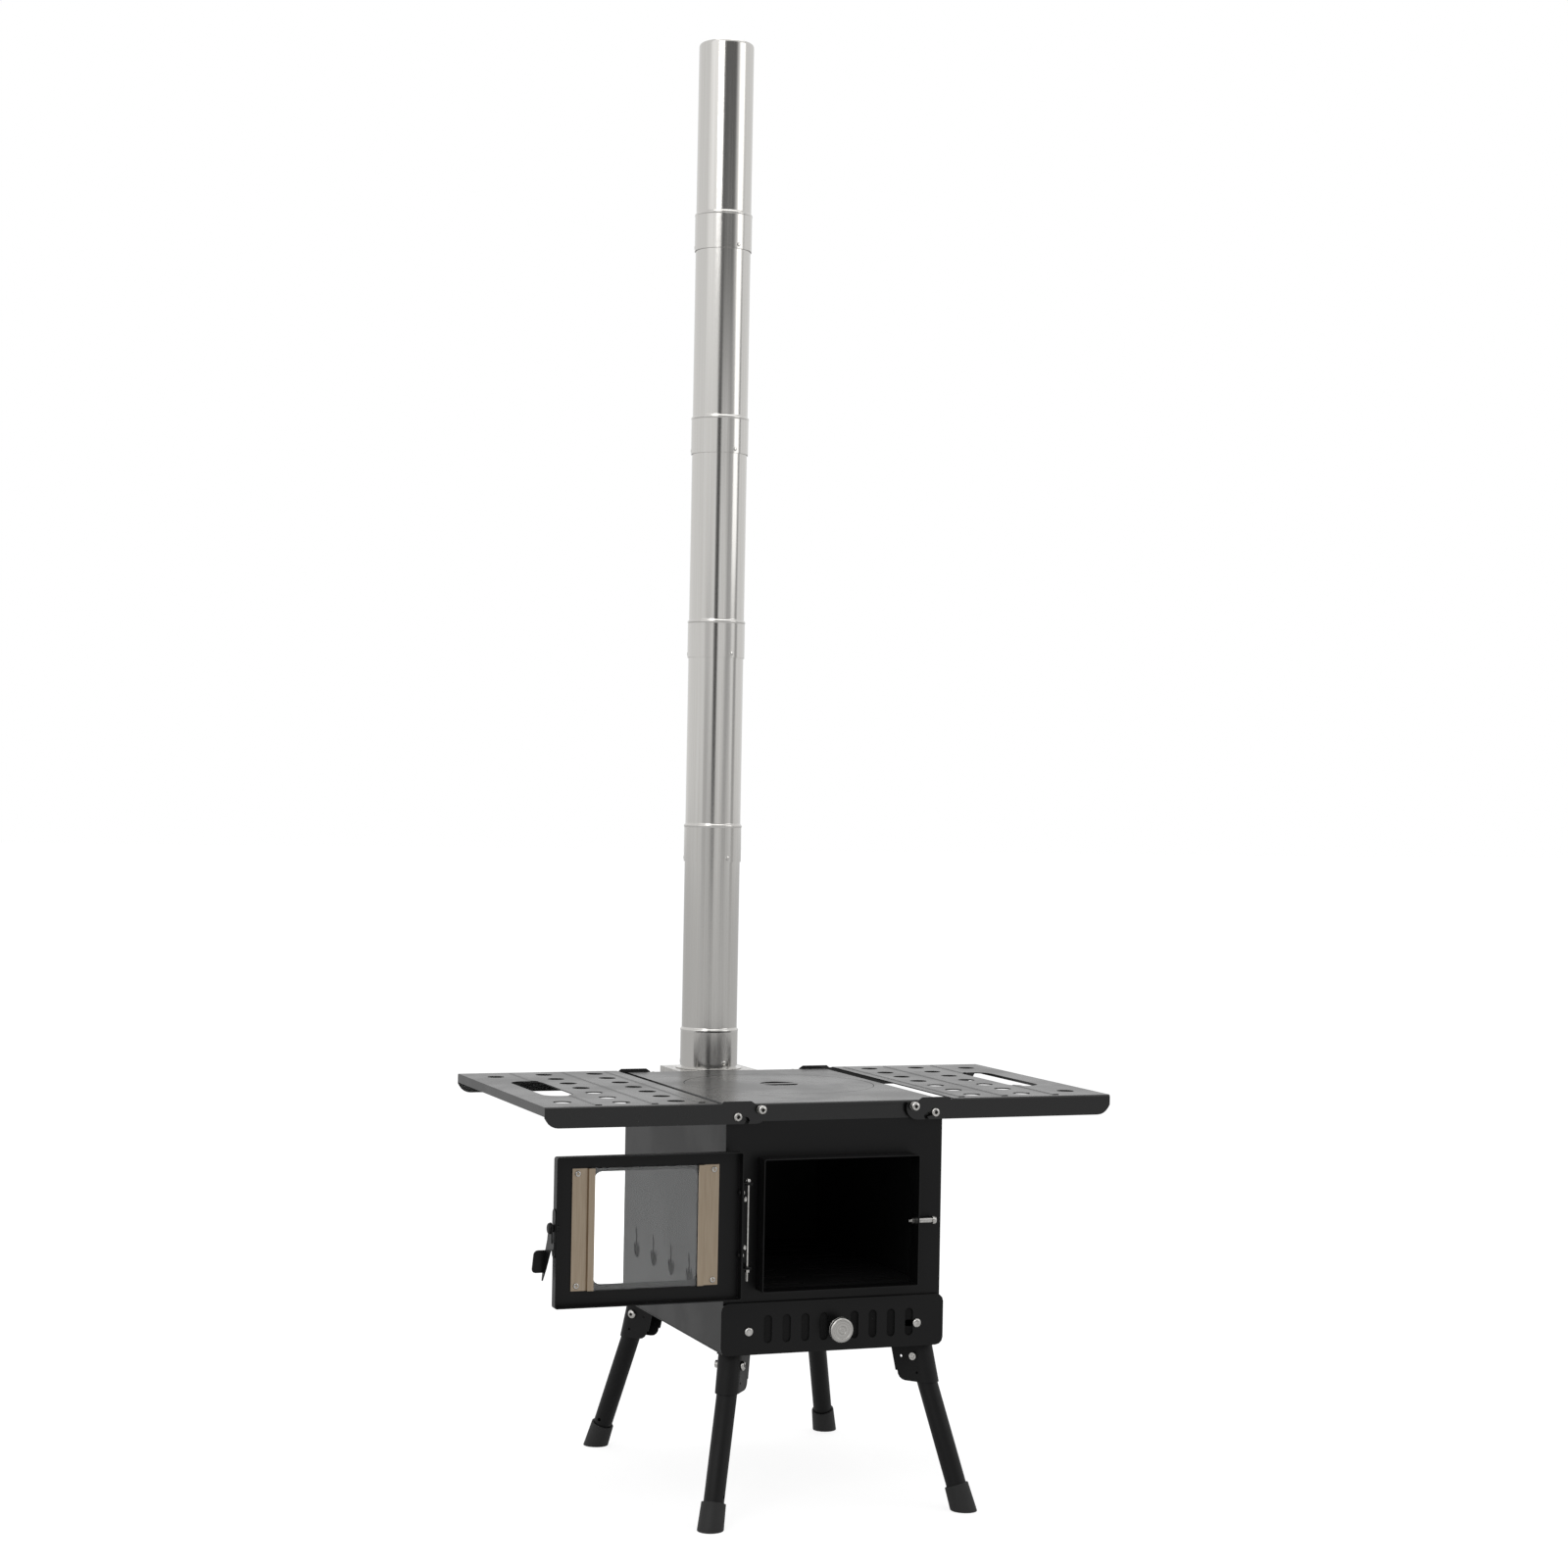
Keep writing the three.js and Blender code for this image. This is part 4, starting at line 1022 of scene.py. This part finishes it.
@dataclass
class AirInlet:
    """The slotted panel, the damper behind it and the turned knob, in mm."""

    shop: Workshop
    knob_x: float = 3.0
    knob_z: float = 241.0
    knob_radius: float = 16.0

    def build(self) -> None:
        """Dresses the panel and damper, and turns the knob."""
        book = self.shop.book
        self.shop.eased("ash_panel", book.body_paint, ease=0.35)
        self.shop.eased("damper_plate", book.inner_paint, ease=0.15)
        rim = self.knob_radius
        profile = [
            (0, -4.6), (2, -4.6), (2, -1.6), (4, -1.6), (4, 6), (8.5, 6, 0.5), (8.5, 14, 0.6),
            (rim - 2, 15.4, 0.8), (rim, 17.4, 0.7), (rim, 18.4), (rim - 0.45, 18.8), (rim, 19.2),
            (rim, 22.2, 0.9), (rim - 1.8, 24.2, 0.8), (rim - 4.4, 24.5, 0.3), (rim - 4.8, 23.9),
            (rim - 5.6, 23.7), (5.2, 23.8), (4.9, 23.5), (4.6, 23.8), (0, 23.85),
        ]
        place = Vector((self.knob_x, FRONT - PANEL_PROUD, self.knob_z))
        knob = [(Turned(profile, segments=72), place, FORWARD)]
        self.shop.turned(knob, "damper_knob_turned", book.knob_steel, "damper", ["damper_knob"])


@dataclass
class SideShelf:
    """A folding side shelf with round holes drilled through its pressed top, in mm."""

    shop: Workshop
    side: Side
    drill: PerforationTree
    radius: float = 11.75
    rows: tuple[float, ...] = (207.0, 280.0)
    count: int = 7
    pitch: float = 59.0
    end_hole_x: float = 353.0
    end_hole_y: float = 161.0
    top: float = 532.8

    def build(self) -> None:
        """Drills the shelf's holes round and eases its edges."""
        word = self.side.word
        offsets = [(k - (self.count - 1) / 2) * self.pitch for k in range(self.count)]
        spots = [(x, y) for x in self.rows for y in offsets]
        spots += [(self.end_hole_x, s * self.end_hole_y) for s in (-1, 1)]
        mesh = bpy.data.meshes.new(f"shelf_{word}_centres")
        mesh.from_pydata([mm(self.side.value * x, FIREBOX_CENTRE_Y + y, self.top) for x, y in spots], [], [])
        centres = bpy.data.objects.new(mesh.name, mesh)
        bpy.context.scene.collection.objects.link(centres)
        holes = Stage(self.drill.tree, {"Centres": centres, "Radius": self.radius * MM, "Depth": 12 * MM})
        self.shop.eased(f"shelf_{word}", self.shop.book.top_paint, ease=0.4, stages=[holes])
        bpy.data.objects.remove(centres, do_unlink=True)


@dataclass
class Door:
    """The glass door as it lies open, with its clamps, hinge, latch and small screws, in mm."""

    shop: Workshop
    fasteners: FastenerTree
    hinge_x: float = -128.0
    hinge_y: float = FRONT - 25.0
    clamp_screw_x: tuple[float, ...] = (46.0, 225.0)
    clamp_screw_z: tuple[float, ...] = (313.0, 452.0)
    clamp_face: float = -0.5
    free_wall: float = 255.0
    sheet: float = 1.5
    pin_wall: float = 109.5
    pin_head: float = 133.2
    pin_z: float = 375.0
    latch_y: float = 2.3
    latch_z: float = 386.0

    def world(self, x: float, y: float, z: float) -> Vector:
        """A point of the closed door's own layout, where it is with the door open, in mm."""
        return Vector((self.hinge_x - x, self.hinge_y - y, z))

    def build(self) -> None:
        """Dresses the door and turns its screws."""
        book = self.shop.book
        self.shop.eased("door_frame", book.body_paint, ease=0.9, steps=3)
        self.shop.eased("door_glass", book.glass, ease=0.4)
        for node in ("glass_clamp_hinge_side", "glass_clamp_latch_side"):
            self.shop.eased(node, book.clamp_steel, ease=0.3)
        for node in ("door_hinge_leaf", "latch_plate", "body_hinge_leaf"):
            self.shop.eased(node, book.body_paint, ease=0.2)
        self.shop.eased("latch_lever", book.body_paint, ease=0.3)
        self._clamp_screws()
        self._hinge()
        self._latch()

    def _clamp_screws(self) -> None:
        """Four socket screws with a turned rim hold the two clamps."""
        profile = [(0, -0.4), (3.9, -0.4), (3.9, 0.9, 0.4), (3.3, 2.1, 0.7), (0, 2.5)]
        head = Turned(profile, segments=36, socket=1.7, socket_depth=1.3)
        spots = [
            (self.world(x, self.clamp_face, z), FORWARD)
            for x in self.clamp_screw_x
            for z in self.clamp_screw_z
        ]
        steel = self.shop.book.screw_steel
        self.fasteners.make(self.shop, "glass_clamp_screw_heads", head, spots, steel, "door")

    def _hinge(self) -> None:
        """The long bolt with its nut, and the small screws of both leaves."""
        steel = self.shop.book.screw_steel
        axis = Vector((self.hinge_x, self.hinge_y, 0))
        bolt = Turned(
            [
                (0, 309), (1.2, 309, 0.3), (1.6, 309.6), (1.6, 434.9), (3.2, 434.9, 0.3), (3.2, 437.6, 0.6),
                (2.4, 438.6, 0.4), (0, 438.8),
            ],
            segments=24,
            socket=1.3,
            socket_depth=1.2,
        )
        nut = Turned([(1.5, 320.8), (3.8, 320.8), (3.8, 324.1), (1.5, 324.1), (1.5, 320.8)], segments=6)
        forms = [(bolt, axis, UPWARD), (nut, axis, UPWARD)]
        self.shop.turned(forms, "hinge_bolt_turned", steel, "stove", ["hinge_bolt"])
        head = Turned([(0, -0.3), (3.7, -0.3), (3.7, 0.7, 0.4), (2.9, 1.9, 0.7), (0, 2.35)], segments=28)
        leaf = [(self.world(9.7 - 1.5, 3, z), Vector((1, 0, 0))) for z in (342.8, 422.0)]
        self.fasteners.make(self.shop, "door_hinge_screw_heads", head, leaf, steel, "door")
        body = [(Vector((self.hinge_x + 5, FRONT - 1.8, z)), FORWARD) for z in (348.0, 409.5)]
        self.fasteners.make(self.shop, "body_hinge_screw_heads", head, body, steel, "stove")

    def _latch(self) -> None:
        """The lever's domed pivot, and the catch pin on the collar."""
        book = self.shop.book
        spacer = self.free_wall + 0.6 + 1
        seat = spacer + 2.5 + 1.6 + 0.3
        wall = self.free_wall - self.sheet - 0.3
        pivot = Turned(
            [
                (0, wall - 4.2), (2.2, wall - 4.2), (2.2, wall - 3.2), (3.9, wall - 3.2), (3.9, wall),
                (2.2, wall), (2.2, spacer), (4.8, spacer), (4.8, spacer + 2.2), (2.2, spacer + 2.2),
                (2.2, seat), (6.9, seat, 0.3), (6.9, seat + 1.3, 0.6), (5.4, seat + 2.6, 1.2),
                (0, seat + 3.2),
            ]
        )
        place = self.world(0, self.latch_y, self.latch_z)
        forms = [(pivot, place, Vector((-1, 0, 0)))]
        self.shop.turned(forms, "latch_pivot_turned", book.body_paint, "door", ["latch_pivot"])
        right, end = self.pin_wall, self.pin_head
        pin = Turned(
            [
                (0, right - 9.3), (2.2, right - 9.3, 0.3), (2.2, right - 6), (4.6, right - 6),
                (4.6, right - 1.8), (2.2, right - 1.8), (2.2, right + 0.3), (3.5, right + 0.3),
                (3.5, end), (5.6, end, 0.3), (5.6, end + 2.6, 0.8), (4.4, end + 5.6, 1.2),
                (0, end + 6.6),
            ],
            segments=36,
        )
        forms = [(pin, Vector((0, FRONT - 9.5, self.pin_z)), Vector((1, 0, 0)))]
        self.shop.turned(forms, "catch_pin_turned", book.screw_steel, "stove", ["catch_pin"])


@dataclass
class Leg:
    """One folding leg: bracket, tube, foot cap and pivot screw, in mm."""

    shop: Workshop
    end: End
    side: Side
    pivot_x: float = 131.8
    pivot_y: float = 190.8
    pivot_z: float = 195.0
    heading_degrees: float = 51.9
    seat: float = 15.9

    def build(self) -> None:
        """Dresses the leg and turns its pivot screw."""
        book = self.shop.book
        word = f"{self.end.word}_{self.side.word}"
        self.shop.eased(f"leg_bracket_{word}", book.leg_paint, ease=0.3)
        self.shop.eased(f"leg_tube_{word}", book.leg_paint, ease=0.2)
        self.shop.eased(f"foot_cap_{word}", book.rubber, ease=1.1, steps=3, corner_degrees=50)
        heading = math.radians(self.heading_degrees)
        out = Vector((self.side.value * math.cos(heading), self.end.value * math.sin(heading), 0))
        across = UPWARD.cross(out)
        x, y = self.side.value * self.pivot_x, self.end.value * self.pivot_y + FIREBOX_CENTRE_Y
        place = Vector((x, y, self.pivot_z))
        seat = self.seat
        profile = [
            (0, -seat - 5), (2.6, -seat - 5), (2.6, -seat - 4), (5, -seat - 4, 0.3), (5, -seat),
            (2.6, -seat), (2.6, seat), (6.2, seat, 0.3), (6.2, seat + 1.7, 0.7),
            (4.8, seat + 3.3, 0.9), (0, seat + 4),
        ]
        node = f"leg_pivot_{word}"
        screw = Turned(profile, socket=2.4)
        self.shop.turned([(screw, place, across)], f"{node}_turned", book.screw_steel, "stove", [node])


@dataclass
class Chimney:
    """The flue box, its spigot and five stacked stainless sections, in mm."""

    shop: Workshop
    fasteners: FastenerTree
    radius: float = 40.0
    bell: float = 52.5
    flange: float = 527.8
    first: float = 531.7
    pitch: float = 295.5
    insertion: float = 51.4
    last_length: float = 301.5
    sections: int = 5
    segments: int = 96
    dimple_angles: tuple[float, ...] = (-77.0, 43.0, 163.0)
    swage: Profile = (
        (1.5, -3.2), (1.75, -2.3), (2.05, -1.2), (2.05, -0.2), (1.6, 0.8), (0.7, 1.5), (0.15, 2.2),
        (0.0, 3.2),
    )
    plain_end: Profile = ((0.0, -0.3), (-0.3, 0.0), (-0.7, 0.0), (-1.0, -0.3))
    rolled_end: Profile = (
        (0.0, -4.2), (-0.25, -2.3), (-0.9, -0.9), (-1.8, -0.1), (-2.6, -0.3), (-2.9, -1.1), (-2.5, -1.7),
        (-1.7, -2.4), (-1.1, -4.2),
    )

    def build(self) -> None:
        """Makes the flue box, the spigot and the sections."""
        self.shop.eased("flue_box", self.shop.book.box_steel, ease=1.3, steps=4)
        self._spigot()
        for number in range(1, self.sections + 1):
            self._section(number)

    def _section(self, number: int) -> None:
        """Makes one section: a swaged bell at its foot, a long wall and a plain or rolled end."""
        last = number == self.sections
        foot = self.first + (number - 1) * self.pitch
        length = self.last_length if last else self.pitch + self.insertion
        bore = self.radius - 1
        start = (self.radius + 0.5, 0)
        profile = [start, (self.radius + 1.5, 0)]
        profile += [(self.radius + wider, self.bell + higher) for wider, higher in self.swage]
        end = self.rolled_end if last else self.plain_end
        profile += [(self.radius + wider, length + higher) for wider, higher in end]
        profile += [(bore, self.bell + 1.2), (self.radius + 0.5, self.bell - 1.4), start]
        node = f"pipe_section_{number}"
        tube = (Turned(profile, self.segments), Vector((0, CHIMNEY_Y, foot)), UPWARD)
        steel = self.shop.book.pipe_steel
        self.shop.turned([tube], f"{node}_rolled", steel, f"pipe_{number}", [node])
        self._dimples(number, foot)

    def _spigot(self) -> None:
        """The flanged spigot that carries the first section."""
        low, high = self.flange, self.first + self.insertion
        r = self.radius
        profile = [
            (r - 1, low), (r + 8, low), (r + 8, low + 1.2, 0.3), (r, low + 1.2), (r, high),
            (r - 1, high), (r - 1, low),
        ]
        forms = [(Turned(profile, self.segments), Vector((0, CHIMNEY_Y, 0)), UPWARD)]
        steel = self.shop.book.pipe_steel
        self.shop.turned(forms, "flue_spigot_turned", steel, "stove", ["flue_spigot"])

    def _dimples(self, number: int, foot: float) -> None:
        """Small pressed dimples that grip the joint, just above the bell's foot."""
        dimple = Turned([(0, -0.4), (3.4, -0.4), (3.1, 0.1, 0.5), (1.7, 0.45, 0.8), (0, 0.55)], segments=20)
        spots = []
        for degrees in self.dimple_angles:
            angle = math.radians(degrees)
            out = Vector((math.cos(angle), math.sin(angle), 0))
            spots.append((out * (self.radius + 1.5) + Vector((0, CHIMNEY_Y, foot + 5.5)), out))
        name = f"pipe_dimples_{number}"
        self.fasteners.make(self.shop, name, dimple, spots, self.shop.book.pipe_steel, f"pipe_{number}")


# ------------------------------------------------------------------------------ studio


@dataclass(frozen=True)
class Band:
    """An upright band of the surroundings that bare metal mirrors.

    Attributes:
        bearing: Its middle, in degrees from the bearing of the photograph's viewpoint.
        half_width: Degrees from its middle to its edge.
        softness: Degrees over which each edge fades, to either side.
        level: Its brightness, where white is one.
        lowest: Height of its foot, as the sine of the elevation.
        highest: Height of its top, as the sine of the elevation.
    """

    bearing: float
    half_width: float
    softness: float
    level: float
    lowest: float = -2.0
    highest: float = 2.0


@dataclass(frozen=True)
class Lamp:
    """A soft square lamp: its name, place in metres, power in watts and side in metres."""

    name: str
    place: tuple[float, float, float]
    power: float
    size: float


@dataclass(frozen=True)
class Studio:
    """Camera, floor, surroundings and lamps, in metres."""

    eye: tuple[float, float, float] = (-1.37625, -3.65177, 0.92564)
    yaw_degrees: float = 20.838
    pitch_degrees: float = 0.22
    roll_degrees: float = 1.024
    lens: float = 65.306
    photo_bearing_degrees: float = -109.4
    metal_bands: tuple[Band, ...] = (
        Band(18.5, 30.0, 9.0, 0.13, lowest=0.15, highest=0.42),
        Band(-48.0, 16.0, 10.0, 1.25, lowest=0.17),
        Band(78.0, 8.0, 6.0, 1.15, lowest=0.17),
        Band(-2.0, 6.5, 4.0, 0.03, highest=0.15),
        Band(-14.0, 10.0, 5.0, 0.16, highest=0.0),
        Band(42.0, 8.0, 6.0, 0.06, highest=0.0),
        Band(50.0, 10.0, 8.0, 0.50, lowest=0.0, highest=0.15),
        Band(86.0, 5.0, 5.0, 0.40, highest=0.2),
        Band(-36.0, 8.0, 6.0, 0.50, highest=0.06),
    )
    band_fade: float = 0.03
    mirrored_sky: float = 0.9
    diffuse_sky: float = 0.5
    lamps: tuple[Lamp, ...] = (
        Lamp("key_lamp", (-2.6, -3.0, 3.4), 26.0, 1.6),
        Lamp("fill_lamp", (3.2, -2.2, 2.4), 10.0, 1.8),
        Lamp("top_lamp", (0.3, 0.4, 4.2), 20.0, 2.2),
    )
    aim: tuple[float, float, float] = (0.0, 0.0, 0.45)
    floor_reach: float = 40.0
    floor_grey: float = 0.4
    floor_glow: float = 0.84
    floor_mirrored: float = 0.4

    def build(self) -> None:
        """Sets up the whole studio."""
        bpy.context.scene.view_settings.view_transform = "Standard"
        self._camera()
        self._floor()
        self._world()
        for lamp in self.lamps:
            self._hang(lamp)

    def _camera(self) -> None:
        """Places the camera at the photograph's viewpoint."""
        angles = (self.yaw_degrees, self.pitch_degrees, self.roll_degrees)
        yaw, pitch, roll = (math.radians(angle) for angle in angles)
        run = math.cos(pitch)
        ahead = Vector((math.sin(yaw) * run, math.cos(yaw) * run, math.sin(pitch)))
        level = Vector((math.cos(yaw), -math.sin(yaw), 0))
        over = level.cross(ahead)
        right = level * math.cos(roll) + over * math.sin(roll)
        up = over * math.cos(roll) - level * math.sin(roll)
        data = bpy.data.cameras.new("photo_camera")
        data.sensor_width = 36.0
        data.lens = self.lens
        camera = bpy.data.objects.new("photo_camera", data)
        turn = Matrix((right, up, -ahead)).transposed().to_4x4()
        camera.matrix_world = Matrix.Translation(self.eye) @ turn
        bpy.context.scene.collection.objects.link(camera)
        bpy.context.scene.camera = camera

    def _floor(self) -> None:
        """A wide pale floor that shows white but keeps the stove's shadow."""
        mesh = bpy.data.meshes.new("studio_floor")
        reach = self.floor_reach
        corners = [(-reach, -reach, 0), (reach, -reach, 0), (reach, reach, 0), (-reach, reach, 0)]
        mesh.from_pydata(corners, [], [(0, 1, 2, 3)])
        material = bpy.data.materials.new("studio_floor")
        material.use_nodes = True
        material.node_tree.nodes.clear()
        board = Board(material.node_tree)
        path = board.add("ShaderNodeLightPath").outputs
        plain = board.math("MAXIMUM", path["Is Camera Ray"], path["Is Transmission Ray"])
        seen = board.math("MULTIPLY", plain, self.floor_glow)
        mirrored = board.math("MULTIPLY", path["Is Glossy Ray"], self.floor_mirrored)
        strength = board.math("ADD", seen, mirrored)
        grey = (self.floor_grey, self.floor_grey, self.floor_grey, 1.0)
        diffuse = board.add("ShaderNodeBsdfDiffuse", {"Color": grey})
        glow = board.add("ShaderNodeEmission", {"Color": (1, 1, 1, 1), "Strength": strength})
        both = board.add("ShaderNodeAddShader", {0: diffuse.outputs[0], 1: glow.outputs[0]})
        board.add("ShaderNodeOutputMaterial", {"Surface": both.outputs[0]})
        mesh.materials.append(material)
        floor = bpy.data.objects.new("studio_floor", mesh)
        bpy.context.scene.collection.objects.link(floor)

    def _world(self) -> None:
        """White surroundings, in which bare metal mirrors the bands of a darker studio."""
        world = bpy.data.worlds.new("studio")
        world.use_nodes = True
        world.node_tree.nodes.clear()
        bpy.context.scene.world = world
        board = Board(world.node_tree)
        path = board.add("ShaderNodeLightPath").outputs
        toward = board.add("ShaderNodeTexCoord").outputs["Generated"]
        way = board.add("ShaderNodeSeparateXYZ", {0: toward}).outputs
        flat = board.add("ShaderNodeCombineXYZ", {0: way[0], 1: way[1]}).outputs[0]
        unit = board.add("ShaderNodeVectorMath", {0: flat}, operation="NORMALIZE").outputs[0]
        mirrored: object = self.mirrored_sky
        for band in self.metal_bands:
            mirrored = board.mix(self._band_mask(board, band, unit, way[2]), mirrored, band.level)
        plain = board.math("MAXIMUM", path["Is Camera Ray"], path["Is Transmission Ray"])
        level = board.mix(path["Is Glossy Ray"], self.diffuse_sky, mirrored)
        white = {"Color": (1, 1, 1, 1), "Strength": board.mix(plain, level, 1.0)}
        sky = board.add("ShaderNodeBackground", white)
        board.add("ShaderNodeOutputWorld", {"Surface": sky.outputs[0]})

    def _band_mask(
        self, board: Board, band: Band, unit: bpy.types.NodeSocket, height: bpy.types.NodeSocket
    ) -> bpy.types.NodeSocket:
        """One inside a band of the surroundings, fading to zero at its edges.

        Args:
            board: The world's board.
            band: The band.
            unit: The level unit vector towards the surroundings.
            height: The sine of the elevation.

        Returns:
            The mask's socket.
        """
        bearing = math.radians(self.photo_bearing_degrees + band.bearing)
        ahead = (math.cos(bearing), math.sin(bearing), 0.0)
        product = board.add("ShaderNodeVectorMath", {0: unit, 1: ahead}, operation="DOT_PRODUCT")
        outer = math.cos(math.radians(band.half_width + band.softness))
        inner = math.cos(math.radians(max(band.half_width - band.softness, 0.0)))
        mask = board.remap(product.outputs["Value"], outer, inner)
        fade = self.band_fade
        above = board.remap(height, band.lowest - fade, band.lowest + fade)
        below = board.remap(height, band.highest - fade, band.highest + fade, 1.0, 0.0)
        return board.math("MULTIPLY", mask, board.math("MULTIPLY", above, below))

    def _hang(self, lamp: Lamp) -> None:
        """Adds a lamp that looks at the middle of the firebox."""
        data = bpy.data.lights.new(lamp.name, "AREA")
        data.energy = lamp.power
        data.size = lamp.size
        hung = bpy.data.objects.new(lamp.name, data)
        hung.location = lamp.place
        aim = Vector(self.aim) - Vector(lamp.place)
        hung.rotation_euler = aim.to_track_quat("-Z", "Y").to_euler()
        bpy.context.scene.collection.objects.link(hung)


def main() -> None:
    """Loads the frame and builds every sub-assembly in order."""
    logging.basicConfig(level=logging.INFO, format="%(message)s")
    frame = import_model()
    Studio().build()
    shop = Workshop(frame, FinishBook())
    fasteners = FastenerTree()
    drill = PerforationTree()
    Firebox(shop).build()
    AirInlet(shop).build()
    Fastening(shop).build()
    for side in Side:
        SideShelf(shop, side, drill).build()
    Door(shop, fasteners).build()
    for end in End:
        for side in Side:
            Leg(shop, end, side).build()
    Chimney(shop, fasteners).build()


if __name__ == "__main__":
    main()
